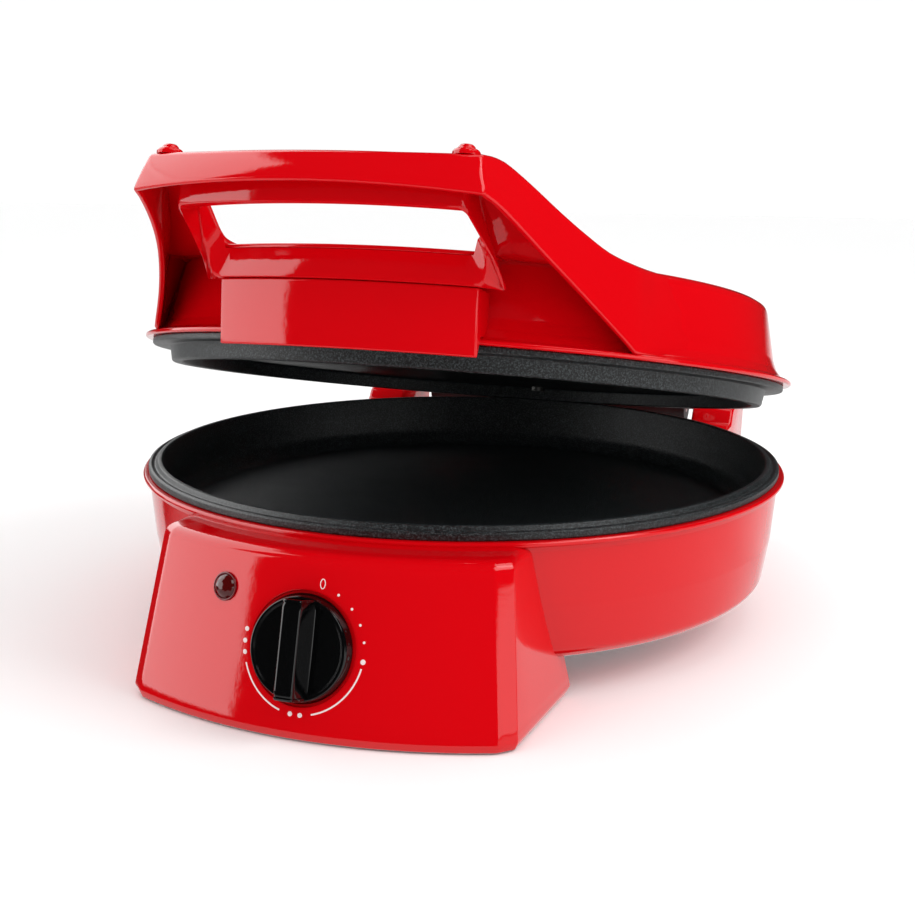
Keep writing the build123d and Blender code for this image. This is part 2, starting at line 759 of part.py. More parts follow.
with BuildPart() as hinge_pins:
    for side in (1, -1):
        add(rods(bowl_side.offset(side * pin_start), side * (tower_outer - 2 - pin_start), pin_radius,
                 [(hinge_y, hinge_height)]))
write(hinge_pins, "hinge_pins")

with BuildPart() as hinge_knuckle:
    add(rods(lid_side.offset(-barrel_half), 2 * barrel_half, barrel_radius, [(hinge_y, hinge_drop)]))
    add(prism(lid_side, [(pad_face, pad_top), (pad_face + knuckle_sheet, pad_top),
                         (pad_face + knuckle_sheet, hinge_drop + barrel_radius + 4),
                         (hinge_y, hinge_drop + barrel_radius), (hinge_y, hinge_drop),
                         (hinge_y - barrel_radius, hinge_drop - 1), (pad_face, -1)],
              pad_centre + pad_width / 2))
    for side in (1, -1):
        add(rods(lid_side.offset(side * (barrel_half - bush_length)), side * (bush_length + 1), bush_radius,
                 [(hinge_y, hinge_drop)]), mode=Mode.SUBTRACT)
    add(rods(lid_rear(pad_face - 1), knuckle_sheet + 12, screw_radius + screw_clearance, knuckle_places),
        mode=Mode.SUBTRACT)
write(hinge_knuckle, "hinge_knuckle")

with BuildPart() as hinge_bushes:
    for side in (1, -1):
        bush_plane = lid_side.offset(side * (barrel_half - bush_length))
        add(rods(bush_plane, side * bush_length, bush_radius, [(hinge_y, hinge_drop)]))
        add(rods(bush_plane, side * bush_length, pin_radius + running_gap, [(hinge_y, hinge_drop)]),
            mode=Mode.SUBTRACT)
write(hinge_bushes, "hinge_bushes")

with BuildPart() as knuckle_screws:
    add(rods(lid_rear(pad_face + knuckle_sheet), screw_head_height, screw_head_radius, knuckle_places))
    add(rods(lid_rear(pad_face - screw_bite), knuckle_sheet + screw_bite, screw_radius, knuckle_places))
write(knuckle_screws, "knuckle_screws")

# Lid shell with its handle

crown_rise = drum_crown - drum_edge_height
drum_profile = [(0, 0), (lip_radius, 0), (lip_radius, lid_lip_thickness),
                (drum_low_radius + 2.4, lid_lip_thickness + 0.8), (drum_low_radius, 8),
                (drum_low_radius - 2.4, 12), (drum_high_radius, drum_shoulder),
                (drum_high_radius - 1, drum_shoulder + 2.4), (drum_edge_radius, drum_edge_height),
                (drum_edge_radius * 0.6, drum_edge_height + crown_rise * 0.64), (0, drum_crown)]
drum_space_profile = [(0, -1), (lid_opening_radius, -1), (lid_opening_radius, lid_lip_thickness + 4),
                      (drum_low_radius - 2.4 - wall, 14), (drum_high_radius - wall, drum_shoulder),
                      (drum_edge_radius - 2, drum_edge_height - wall),
                      (drum_edge_radius * 0.6, drum_edge_height + crown_rise * 0.56 - wall),
                      (0, drum_crown - wall)]
deck_under = deck_height - handle_wall
boss_low = apron_top + liner_wall
liner_screw_places = [(side * liner_screw_x, chord_y(liner_screw_ring, liner_screw_x)) for side in (-1, 1)]
cap_places = [(side * cap_half, cap_y) for side in (-1, 1)]


def handle_plan(inset):
    """The handle seen from above between its cheeks, far too deep downwards and at its front."""
    with BuildPart() as block:
        for height in (-12.0, bar_top_height + 2):
            narrow = height * tan(radians(cheek_draft)) + inset
            tip, middle, foot, shoulder = (
                (x - narrow, y) for x, y in (cheek_tip, cheek_middle, cheek_foot, cheek_shoulder))
            nose = (tip[0] - 2.5, tip[1] - 20)
            rear = (shoulder[0] - 30, shoulder[1] + 15)
            with BuildSketch(lid_level(height)):
                with BuildLine():
                    Polyline((-nose[0], nose[1]), nose, tip)
                    ThreePointArc(tip, middle, foot)
                    Polyline(foot, shoulder, rear, (-rear[0], rear[1]), (-shoulder[0], shoulder[1]),
                             (-foot[0], foot[1]))
                    ThreePointArc((-foot[0], foot[1]), (-middle[0], middle[1]), (-tip[0], tip[1]))
                    Line((-tip[0], tip[1]), (-nose[0], nose[1]))
                make_face()
        loft(ruled=True)
    return block.part


def handle_side(drop, hollow):
    """The handle seen from its side, with its top lowered by a drop, open below when it is the hollow."""
    front, back = cheek_tip[1] - 30, cheek_shoulder[1] + 20
    foot_height_at = -11.0 if hollow else lid_lip_thickness - 0.2
    nose_height = -11.0 if hollow else bar_low_height
    with BuildPart() as block:
        with BuildSketch(lid_side):
            with BuildLine():
                if hollow:
                    Line((front, nose_height), (back, foot_height_at))
                else:
                    crease = ThreePointArc((cheek_tip[1], nose_height), crease_middle,
                                           (cheek_foot[1], foot_height_at))
                    Line((front, nose_height), crease @ 0)
                    Line(crease @ 1, (back, foot_height_at))
                Polyline((back, foot_height_at), (back, deck_height - drop),
                         (arm_slope_end, deck_height - drop), (arm_slope_start, bar_top_height - drop),
                         (front, bar_top_height - drop), (front, nose_height))
            make_face()
        extrude(amount=lip_radius, both=True)
    return block.part


def handle_block(inset, hollow):
    """The outer shape of the handle, or its hollow."""
    lean = (bar_low_radius - bar_high_radius) / (bar_high_height - bar_low_height)
    cone = [(0, -12), (bar_low_radius + (bar_low_height + 12) * lean - inset, -12),
            (bar_high_radius - inset, bar_high_height), (bar_high_radius - 2.5 - inset, bar_top_height + 2),
            (0, bar_top_height + 2)]
    with BuildPart() as block:
        add(handle_plan(inset))
        add(handle_side(inset, hollow), mode=Mode.INTERSECT)
        add(turned(cone, lid_section, lid_axis), mode=Mode.INTERSECT)
    return block.part


drum_block = turned(drum_profile, lid_section, lid_axis)
with BuildPart() as handle_space:
    add(handle_block(handle_wall, True))
    add(drum_block, mode=Mode.SUBTRACT)
    add(front_sector(lid_level(deck_under), 60, window_rear_radius, 90, window_half + handle_wall),
        mode=Mode.SUBTRACT)

with BuildPart() as channel:
    add(front_sector(lid_level(deck_height), 40, bar_back_radius, 90, window_half))
    add(drum_block, mode=Mode.SUBTRACT)

with BuildPart() as lid_shell:
    add(drum_block)
    for side in (1, -1):
        with BuildSketch(lid_level(lid_lip_thickness)):
            with Locations((side * pad_centre, (pad_face + 120) / 2)):
                Rectangle(pad_width, pad_face - 120)
        extrude(amount=pad_top - lid_lip_thickness)
    add(handle_block(0.0, False))
    add(handle_space.part, mode=Mode.SUBTRACT)
    add(channel.part, mode=Mode.SUBTRACT)
    # Bosses behind the apron for the liner's screws
    add(rods(lid_level(boss_low), deck_height - boss_low - 1, boss_radius, liner_screw_places))
    add(rods(lid_level(boss_low - 1), deck_height - boss_low - 3, screw_radius, liner_screw_places),
        mode=Mode.SUBTRACT)
    add(turned(drum_space_profile, lid_section, lid_axis), mode=Mode.SUBTRACT)
    # Posts for the upper plate, and the holes of the hinge's screws and of the feet
    add(rods(lid_level(plate_rise), drum_edge_height - plate_rise - 1, boss_radius, tie_places))
    add(rods(lid_level(plate_rise), 20, screw_radius, tie_places), mode=Mode.SUBTRACT)
    add(rods(lid_rear(pad_face - 10), 11, screw_radius, knuckle_places), mode=Mode.SUBTRACT)
    add(rods(lid_level(bar_top_height - 5), 8, cap_stem_radius, cap_places), mode=Mode.SUBTRACT)
write(lid_shell, "lid_shell")

with BuildPart() as lid_feet:
    add(rods(lid_level(bar_top_height), cap_brim_height, cap_radius, cap_places))
    add(rods(lid_level(bar_top_height), cap_height, cap_crown_radius, cap_places))
    add(rods(lid_level(bar_top_height - handle_wall), handle_wall, cap_stem_radius, cap_places))
write(lid_feet, "lid_feet")

# Liner of the handle and the apron

liner_half = window_half + liner_wall
liner_inner_radius = window_rear_radius - liner_wall
skin = handle_wall + fit_gap
arm_rate = (bar_top_height - deck_height) / (arm_slope_end - arm_slope_start)
liner_top = deck_under - fit_gap
liner_start = cap_y + 1
liner_end = chord_y(liner_inner_radius, liner_half) + 9
liner_front = -liner_lip_radius - 40
liner_side = [(liner_front, liner_front_height), (liner_start, liner_front_height),
              (liner_end, liner_front_height - liner_slope * (liner_end - liner_start)),
              (liner_end, deck_height + arm_rate * (arm_slope_end - liner_end) - skin),
              (arm_slope_start, bar_top_height - skin), (liner_front, bar_top_height - skin)]

with BuildPart() as handle_inner:
    add(front_sector(lid_level(20), 60, liner_lip_radius, liner_inner_radius, liner_half))
    add(front_sector(lid_level(10), 80, bar_back_radius, window_rear_radius, window_half),
        mode=Mode.SUBTRACT)
    add(front_sector(lid_level(liner_front_height + liner_wall), 60, liner_lip_radius - liner_wall,
                     bar_back_radius + liner_wall, window_half), mode=Mode.SUBTRACT)
    add(prism(lid_side, liner_side, 100), mode=Mode.INTERSECT)
    add(turned([(0, liner_top), (window_rear_radius + fit_gap, liner_top),
                (window_rear_radius + fit_gap, 90), (0, 90)], lid_section, lid_axis), mode=Mode.SUBTRACT)
    add(front_sector(lid_level(apron_top), liner_top - apron_top, window_rear_radius, liner_inner_radius,
                     liner_half))
    add(front_sector(lid_level(apron_top), liner_wall, liner_inner_radius + 0.8, drum_low_radius - 2.5,
                     liner_screw_x + tab_half))
    add(front_sector(lid_level(apron_top - 1), liner_wall + 2, liner_inner_radius, 150,
                     liner_screw_x - tab_half), mode=Mode.SUBTRACT)
    add(rods(lid_level(apron_top - 1), liner_wall + 2, screw_radius + screw_clearance, liner_screw_places),
        mode=Mode.SUBTRACT)
write(handle_inner, "handle_inner")

apron_inner = lip_radius + fit_gap
apron_radius = apron_inner + apron_wall
shelf_low = apron_top - apron_wall
return_low = lid_lip_thickness + 1.1
with BuildPart() as lid_apron:
    add(front_sector(lid_level(-apron_drop), apron_top + apron_drop, apron_radius, apron_inner, apron_half))
    add(front_sector(lid_level(return_low), apron_top - return_low, apron_radius, drum_low_radius + 3,
                     apron_half))
    add(front_sector(lid_level(shelf_low), apron_wall, apron_radius, drum_low_radius - 1, apron_half))
    add(front_sector(lid_level(return_low - 1), shelf_low - return_low + 1, apron_inner, 150,
                     apron_half - apron_wall), mode=Mode.SUBTRACT)
    add(rods(lid_level(shelf_low - 1), apron_wall + 2, screw_radius + screw_clearance, liner_screw_places),
        mode=Mode.SUBTRACT)
write(lid_apron, "lid_apron")

with BuildPart() as handle_screws:
    add(rods(lid_level(shelf_low - screw_head_height), screw_head_height, screw_head_radius,
             liner_screw_places))
    add(rods(lid_level(shelf_low), apron_wall + liner_wall + screw_bite, screw_radius, liner_screw_places))
write(handle_screws, "handle_screws")

# Upper plate with what heats it and holds it

plate_face = plate_rise - plate_thickness
plate_profile = [(0, plate_rise), (ring_inner_radius, plate_rise), (ring_inner_radius + 1, 0),
                 (flange_radius, 0), (flange_radius, -flange_thickness), (ring_top_radius, -flange_thickness),
                 (ring_low_radius, -ring_depth), (ring_inner_radius, -ring_depth),
                 (ring_inner_radius - 1, plate_face), (0, plate_face)]
upper_boss_places = [polar(upper_boss_ring, angle) for angle in tie_angles]
sheet_top = upper_reflector_height + reflector_sheet

with BuildPart() as upper_plate:
    add(turned(plate_profile, lid_section, lid_axis))
    add(rods(lid_level(0), upper_reflector_height, boss_radius, upper_boss_places))
    add(rods(lid_level(plate_rise), upper_reflector_height, screw_radius, upper_boss_places),
        mode=Mode.SUBTRACT)
    add(rods(lid_level(plate_face - 1), plate_thickness + 2, screw_radius + screw_clearance, tie_places),
        mode=Mode.SUBTRACT)
write(upper_plate, "upper_plate")

with BuildPart() as upper_plate_screws:
    add(rods(lid_level(plate_face - screw_head_height), screw_head_height, screw_head_radius, tie_places))
    add(rods(lid_level(plate_face), plate_thickness + post_screw_bite, screw_radius, tie_places))
write(upper_plate_screws, "upper_plate_screws")

with BuildPart() as upper_reflector:
    with BuildSketch(lid_level(upper_reflector_height)):
        Circle(upper_reflector_radius)
        with Locations(*upper_boss_places):
            Circle(screw_radius + screw_clearance, mode=Mode.SUBTRACT)
        with Locations((0, terminal_block_y)):
            Rectangle(*reflector_notch, mode=Mode.SUBTRACT)
    extrude(amount=reflector_sheet)
write(upper_reflector, "upper_reflector")

with BuildPart() as reflector_screws:
    add(rods(lid_level(sheet_top), screw_head_height, screw_head_radius, upper_boss_places))
    add(rods(lid_level(sheet_top - screw_bite), screw_bite, screw_radius, upper_boss_places))
write(reflector_screws, "reflector_screws")

upper_level = lid_level(plate_rise + heater_tube)
with BuildPart() as upper_heater:
    add(heater_ring(upper_level))
write(upper_heater, "upper_heater")

with BuildPart() as upper_heater_ends:
    add(heater_ends(upper_level))
write(upper_heater_ends, "upper_heater_ends")

with BuildPart() as upper_heater_clips:
    add(heater_clips(upper_level, -1))
write(upper_heater_clips, "upper_heater_clips")

with BuildPart() as upper_thermal_fuse:
    add(rods(lid_side.offset(-fuse_length / 2), fuse_length, fuse_radius,
             [(fuse_y, sheet_top + fuse_radius)]))
write(upper_thermal_fuse, "upper_thermal_fuse")

with BuildPart() as lid_wiring:
    for side in (1, -1):
        pin_end = heater_end_plane(upper_level, side).offset(pin_reach).origin
        low = pin_end - lid_up * terminal_pin_radius
        top = pin_end + lid_up * (sheet_top + lid_lead_rise - plate_rise - heater_tube)
        add(tube([tuple(low), tuple(top), tuple(top + lid_back * lid_lead_run)], 4, wire_radius))
write(lid_wiring, "lid_wiring")
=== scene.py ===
import bmesh
import bpy
import numpy as np
from mathutils import Matrix


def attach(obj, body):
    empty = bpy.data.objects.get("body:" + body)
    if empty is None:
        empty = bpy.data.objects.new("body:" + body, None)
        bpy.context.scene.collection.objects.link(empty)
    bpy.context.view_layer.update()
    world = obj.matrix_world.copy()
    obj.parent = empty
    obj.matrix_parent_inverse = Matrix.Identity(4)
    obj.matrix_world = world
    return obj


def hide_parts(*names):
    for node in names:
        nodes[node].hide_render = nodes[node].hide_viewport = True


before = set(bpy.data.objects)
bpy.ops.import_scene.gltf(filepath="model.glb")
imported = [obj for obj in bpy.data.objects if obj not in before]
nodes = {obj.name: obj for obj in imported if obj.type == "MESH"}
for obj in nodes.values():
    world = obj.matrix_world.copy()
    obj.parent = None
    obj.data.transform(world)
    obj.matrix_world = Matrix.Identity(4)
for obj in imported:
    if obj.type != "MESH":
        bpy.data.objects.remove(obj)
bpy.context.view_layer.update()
print("frame loaded:", len(nodes), "nodes")

scene = bpy.context.scene
scene.view_settings.view_transform = "Standard"

# Places shared by all pieces: the bowl's axis, the lid's level plane turned back about the hinge, and the
# housing's face, which is part of a cone
place = {"bowlY": 7.004, "lidY": 12.583, "lidZ": 125.423, "opening": 12.15, "faceSlope": 15.6508,
         "faceRadius": 213.7, "faceShift": 5.8, "dialUp": 38.6}
# Steps round an axis for large, middle, small and hidden turned forms
largeSteps, dialSteps, smallSteps, pegSteps = 256, 128, 64, 48
openSin, openCos = np.sin(np.radians(place["opening"])), np.cos(np.radians(place["opening"]))
faceSin, faceCos = np.sin(np.radians(place["faceSlope"])), np.cos(np.radians(place["faceSlope"]))


# Base frame: the bowl's axis moved to its place on the table
def onBase(points):
    return points + np.array([0.0, place["bowlY"], 0.0])


# Lid frame: y and z turned by the opening angle, then moved to the middle of the lid's lip
def onLid(points):
    x, y, z = points[..., 0], points[..., 1], points[..., 2]
    return np.stack([x, place["lidY"] + openCos * y + openSin * z,
                     place["lidZ"] - openSin * y + openCos * z], -1)


# Dial frame: x across, y up the sloping face, z out of it, at the dial's middle
def onDial(points):
    x, up, out = points[..., 0], points[..., 1], points[..., 2]
    radius = place["faceRadius"] - place["dialUp"] * faceSin
    middle = np.array([0.0, place["bowlY"] + place["faceShift"] - radius, place["dialUp"] * faceCos])
    return middle + np.stack([x, up * faceSin - out * faceCos, up * faceCos + out * faceSin], -1)


# Face frame: x along the face, up along its slope, out from it, wrapped on the face's cone
def onFace(points):
    x, up, out = points[..., 0], points[..., 1], points[..., 2]
    radius = place["faceRadius"] - up * faceSin
    turn = x / radius
    reach = radius + out * faceCos
    return np.stack([reach * np.sin(turn), place["bowlY"] + place["faceShift"] - reach * np.cos(turn),
                     up * faceCos + out * faceSin], -1)


# Vectors made one long
def unit(vectors):
    return vectors / np.linalg.norm(vectors, axis=-1, keepdims=True)


# Smooth step from 0 to 1: soft at both ends and level outside
def smoothStep(value):
    value = np.clip(value, 0, 1)
    return value ** 2 * (3 - 2 * value)


# Rounds the corners of a line: each corner is cut by an arc that touches both sides
def roundedLine(corners, radii, steps=6, closed=False):
    corners = np.asarray(corners, float)
    count = len(corners)
    radii = np.broadcast_to(radii, count)
    pieces = []
    for n in range(count):
        corner = corners[n]
        if not closed and n in (0, count - 1) or radii[n] <= 0:
            pieces.append(corner[None])
            continue
        toLast, toNext = corners[n - 1] - corner, corners[(n + 1) % count] - corner
        lastLength, nextLength = np.linalg.norm(toLast), np.linalg.norm(toNext)
        toLast, toNext = toLast / lastLength, toNext / nextLength
        half = np.arccos(np.clip(toLast @ toNext, -1, 1)) / 2
        if half > np.pi / 2 - 0.01:
            pieces.append(corner[None])
            continue
        cut = min(radii[n] / np.tan(half), 0.48 * lastLength, 0.48 * nextLength)
        radius = cut * np.tan(half)
        centre = corner + (toLast + toNext) / np.linalg.norm(toLast + toNext) * radius / np.sin(half)
        first, last = corner + toLast * cut - centre, corner + toNext * cut - centre
        share = np.linspace(0, 1, steps)[:, None]
        sweep = np.pi - 2 * half
        arc = (np.sin((1 - share) * sweep) * first + np.sin(share * sweep) * last) / np.sin(sweep)
        pieces.append(centre + arc)
    return np.concatenate(pieces)


# Puts more points on long runs of a line, so that curved surfaces stay smooth
def denser(line, longest, closed=False):
    line = np.asarray(line, float)
    ends = np.roll(line, -1, 0) if closed else line[1:]
    starts = line if closed else line[:-1]
    runs = np.maximum(1, np.ceil(np.linalg.norm(ends - starts, axis=1) / longest)).astype(int)
    index = np.repeat(np.arange(len(runs)), runs)
    share = (np.arange(runs.sum()) - np.repeat(np.cumsum(runs) - runs, runs)) / np.repeat(runs, runs)
    dense = starts[index] + (ends - starts)[index] * share[:, None]
    return dense if closed else np.concatenate([dense, line[-1:]])


# Turned surface: each profile point (radius, height) goes round the axis in equal steps
def turned(profile, segments):
    profile = np.asarray(profile, float)
    angle = np.linspace(0, 2 * np.pi, segments, endpoint=False)[:, None]
    return np.stack([profile[:, 0] * np.cos(angle), profile[:, 0] * np.sin(angle),
                     profile[:, 1] + 0 * angle], -1)


# Quads of a grid of points, with either direction closed on itself; a mask leaves some of them out
def quads(rows, columns, wrapRows, wrapColumns, start, keep=None):
    row = np.arange(rows if wrapRows else rows - 1)[:, None]
    column = np.arange(columns if wrapColumns else columns - 1)[None]
    nextRow, nextColumn = (row + 1) % rows, (column + 1) % columns
    corners = [row * columns + column, row * columns + nextColumn,
               nextRow * columns + nextColumn, nextRow * columns + column]
    made = np.stack(np.broadcast_arrays(*corners), -1)
    made = made.reshape(-1, 4) if keep is None else made[keep]
    return made + start


# Points put evenly on chosen runs of a closed line, so that lines of one kind keep one count
def filled(line, runs):
    pieces = []
    for n in range(len(line)):
        share = np.arange(runs.get(n, 1))[:, None] / runs.get(n, 1)
        pieces.append(line[n] + (line[(n + 1) % len(line)] - line[n]) * share)
    return np.concatenate(pieces)


# Closes a tube of rings with a point at each end
def capped(rings):
    first, last = rings[:1], rings[-1:]
    return np.concatenate([first.mean(1, keepdims=True) + 0 * first, rings,
                           last.mean(1, keepdims=True) + 0 * last])


# A piece from grids: points in millimetres, doubles merged, normals outwards, edges sharp above an angle
def makePiece(name, grids, body, material, replaces=(), sharp=32, outwards=True):
    mergeDistance, tooShort = 4e-6, 1e-7
    points, faces, start = [], [], 0
    for grid, wrapRows, wrapColumns, *keep in grids:
        rows, columns = grid.shape[:2]
        points.append(grid.reshape(-1, 3))
        faces.append(quads(rows, columns, wrapRows, wrapColumns, start, *keep))
        start += rows * columns
    mesh = bpy.data.meshes.new(name)
    mesh.from_pydata((np.concatenate(points) / 1000).tolist(), [], np.concatenate(faces).tolist())
    solid = bmesh.new()
    solid.from_mesh(mesh)
    bmesh.ops.remove_doubles(solid, verts=solid.verts, dist=mergeDistance)
    bmesh.ops.dissolve_degenerate(solid, edges=solid.edges, dist=tooShort)
    if outwards:
        bmesh.ops.recalc_face_normals(solid, faces=solid.faces)
    solid.to_mesh(mesh)
    solid.free()
    mesh.shade_smooth()
    if sharp:
        mesh.set_sharp_from_angle(angle=np.radians(sharp))
    piece = bpy.data.objects.new(name, mesh)
    scene.collection.objects.link(piece)
    mesh.materials.append(material)
    if replaces:
        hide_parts(*replaces)
    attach(piece, body)


# Colours and other values that each material gives to its effect group
materials = {
    "gloss red": {"Colour": (0.6, 0.0005, 0.0035), "Roughness": 0.06, "Wave": 0.05, "Wave Size": 26.0,
                  "Pores": 0.16, "Pore Size": 330.0, "Dust": 0.0},
    "gloss black": {"Colour": (0.0015, 0.0016, 0.0018), "Roughness": 0.06, "Wave": 0.04, "Wave Size": 40.0,
                    "Pores": 0.01, "Dust": 0.0},
    "non-stick": {"Colour": (0.0028, 0.0032, 0.0036), "Roughness": 0.3, "Grain Size": 1300.0, "Grain": 0.6},
    "matt black": {"Colour": (0.012, 0.012, 0.013), "Roughness": 0.5, "Wave": 0.02, "Pores": 0.3},
    "rubber": {"Colour": (0.015, 0.015, 0.015), "Roughness": 0.8, "Wave": 0.02, "Pores": 0.6, "Dust": 0.06},
    "steel": {"Colour": (0.55, 0.55, 0.56), "Roughness": 0.3},
    "element": {"Colour": (0.2, 0.2, 0.19), "Roughness": 0.42},
    "fuse": {"Colour": (0.75, 0.75, 0.76), "Roughness": 0.2},
    "ceramic": {"Colour": (0.8, 0.77, 0.7), "Roughness": 0.4, "Pores": 0.2},
    "nylon": {"Colour": (0.75, 0.74, 0.71), "Roughness": 0.45, "Pores": 0.15},
    "wire": {"Colour": (0.78, 0.77, 0.74), "Roughness": 0.5, "Pores": 0.1},
    "print": {"Colour": (0.84, 0.70, 0.69), "Roughness": 0.35, "Wave": 0.0, "Pores": 0.1, "Dust": 0.0},
    "lens": {"Colour": (0.075, 0.002, 0.002), "Roughness": 0.04, "Wave": 0.0, "Pores": 0.0, "Dust": 0.0},
    "lens ring": {"Colour": (0.12, 0.0, 0.002), "Roughness": 0.08, "Wave": 0.0, "Pores": 0.0, "Dust": 0.0},
}


# A node with its settings, and inputs given as values or as the outputs that they are joined to
def addNode(tree, kind, inputs, **settings):
    node = tree.nodes.new(kind)
    for name, value in settings.items():
        setattr(node, name, value)
    for name, value in inputs.items():
        if isinstance(value, bpy.types.NodeSocket):
            tree.links.new(value, node.inputs[name])
        else:
            node.inputs[name].default_value = value
    return node


# A calculation with up to three values
def maths(tree, operation, *values):
    return addNode(tree, "ShaderNodeMath", dict(enumerate(values)), operation=operation).outputs[0]


# Noise of a scale at given coordinates
def noise(tree, where, scale, detail, roughness):
    inputs = {"Vector": where, "Scale": scale, "Detail": detail, "Roughness": roughness}
    return addNode(tree, "ShaderNodeTexNoise", inputs).outputs["Fac"]


# A value between low and high, mapped to a value between first and last and held at both ends
def ramp(tree, value, low, high, first=0.0, last=1.0, shape="LINEAR"):
    inputs = {"Value": value, "From Min": low, "From Max": high, "To Min": first, "To Max": last}
    return addNode(tree, "ShaderNodeMapRange", inputs, interpolation_type=shape).outputs["Result"]


# The normal bent by a height, over an earlier bump if one is given
def bumped(tree, strength, height, distance, **earlier):
    inputs = {"Strength": strength, "Height": height, "Distance": distance} | earlier
    return addNode(tree, "ShaderNodeBump", inputs).outputs["Normal"]


# A mix of two colours by a factor; the node keeps its colour sockets at these places
def mixed(tree, factor, first, second):
    firstColour, secondColour, result = 6, 7, 2
    inputs = {"Factor": factor, firstColour: first, secondColour: second}
    return addNode(tree, "ShaderNodeMix", inputs, data_type="RGBA").outputs[result]


# Starts a node group with its inputs and three outputs, and gives its inputs and the object coordinates
def startGroup(name, inputs):
    group = bpy.data.node_groups.new(name, "ShaderNodeTree")
    for title, value in inputs.items():
        kind = "NodeSocketColor" if isinstance(value, tuple) else "NodeSocketFloat"
        made = group.interface.new_socket(name=title, in_out="INPUT", socket_type=kind)
        made.default_value = value
    for title, kind in (("Colour", "NodeSocketColor"), ("Roughness", "NodeSocketFloat"),
                        ("Normal", "NodeSocketVector")):
        group.interface.new_socket(name=title, in_out="OUTPUT", socket_type=kind)
    enter, where = group.nodes.new("NodeGroupInput"), group.nodes.new("ShaderNodeTexCoord")
    return group, enter.outputs, where.outputs["Object"]


# Ends a node group with what it gives to a shader
def endGroup(group, colour, roughness, normal):
    addNode(group, "NodeGroupOutput", {"Colour": colour, "Roughness": roughness, "Normal": normal})
    return group


# Node group: slow waves in a moulded skin, fine pores and a thin, pale and dull film of dust in patches
def mouldedSkinGroup():
    group, enter, where = startGroup("mouldedSkin", {
        "Colour": (0.5, 0.5, 0.5, 1), "Roughness": 0.2, "Wave": 0.05, "Wave Size": 30.0, "Pores": 0.02,
        "Pore Size": 900.0, "Dust": 0.02})
    waves = noise(group, where, enter["Wave Size"], 1.0, 0.4)
    pores = noise(group, where, enter["Pore Size"], 2.0, 0.6)
    patches = ramp(group, noise(group, where, 11.0, 4.0, 0.6), 0.45, 0.8)
    film = maths(group, "MULTIPLY", patches, enter["Dust"])
    colour = mixed(group, film, enter["Colour"], (0.6, 0.58, 0.56, 1))
    roughness = maths(group, "MULTIPLY_ADD", film, 1.2, enter["Roughness"])
    slow = bumped(group, enter["Wave"], waves, 0.004)
    return endGroup(group, colour, roughness, bumped(group, enter["Pores"], pores, 0.0002, Normal=slow))


# Node group: speckle of a sprayed coating, as lighter flecks, rougher spots and small bumps
def sprayedCoatGroup():
    group, enter, where = startGroup("sprayedCoat", {
        "Colour": (0.01, 0.01, 0.01, 1), "Fleck Colour": (0.075, 0.09, 0.095, 1), "Roughness": 0.35,
        "Grain Size": 1500.0, "Grain": 0.5})
    grain = noise(group, where, enter["Grain Size"], 2.0, 0.7)
    spots = noise(group, where, 14.0, 3.0, 0.6)
    colour = mixed(group, ramp(group, grain, 0.46, 0.76), enter["Colour"], enter["Fleck Colour"])
    roughness = maths(group, "MULTIPLY_ADD", spots, 0.22, enter["Roughness"])
    return endGroup(group, colour, roughness, bumped(group, enter["Grain"], grain, 0.0003))


# Node group: fine scratches along one direction and small stains on bare metal
def drawnMetalGroup():
    group, enter, where = startGroup("drawnMetal", {
        "Colour": (0.6, 0.6, 0.6, 1), "Roughness": 0.3, "Scratches": 0.15})
    stretched = addNode(group, "ShaderNodeMapping", {"Vector": where, "Scale": (30.0, 900.0, 900.0)})
    scratches = noise(group, stretched.outputs["Vector"], 1.0, 3.0, 0.6)
    stains = ramp(group, noise(group, where, 60.0, 4.0, 0.6), 0.0, 1.0, 0.75, 1.1)
    colour = addNode(group, "ShaderNodeVectorMath", {0: enter["Colour"], "Scale": stains}, operation="SCALE")
    roughness = maths(group, "MULTIPLY_ADD", scratches, 0.25, enter["Roughness"])
    return endGroup(group, colour.outputs[0], roughness, bumped(group, enter["Scratches"], scratches, 0.0001))


# A material of one shader, fed by an effect group with the material's own values
def makeMaterial(name, group, metallic=0.0, transmission=0.0):
    material = bpy.data.materials.new(name.replace(" ", "_"))
    material.use_nodes = True
    tree = material.node_tree
    shader = tree.nodes["Principled BSDF"]
    shader.inputs["Metallic"].default_value = metallic
    shader.inputs["Transmission Weight"].default_value = transmission
    values = {key: (*value, 1) if isinstance(value, tuple) else value for key, value in materials[name].items()}
    effect = addNode(tree, "ShaderNodeGroup", values, node_tree=group)
    for given, taken in (("Colour", "Base Color"), ("Roughness", "Roughness"), ("Normal", "Normal")):
        tree.links.new(effect.outputs[given], shader.inputs[taken])
    return material


mouldedSkin, sprayedCoat, drawnMetal = mouldedSkinGroup(), sprayedCoatGroup(), drawnMetalGroup()
red, blackGloss, blackMatt, rubber, ceramic, nylon, wire, white, lensRing = (
    makeMaterial(name, mouldedSkin) for name in ("gloss red", "gloss black", "matt black", "rubber", "ceramic",
                                                 "nylon", "wire", "print", "lens ring"))
lens = makeMaterial("lens", mouldedSkin, transmission=0.2)
coated = makeMaterial("non-stick", sprayedCoat)
steel, element, fuse = (makeMaterial(name, drawnMetal, metallic=1.0) for name in ("steel", "element", "fuse"))
print("materials made")

# The photo's camera: its place in metres, its direction in degrees, and its lens in millimetres
view = {"place": (0.2321, -0.6498, 0.2297), "azimuth": 19.46, "elevation": 12.131, "roll": -0.417,
        "yaw": -0.268, "pitch": -0.039, "lens": 52.104, "sensor": 36.0, "near": 0.01, "far": 50.0}


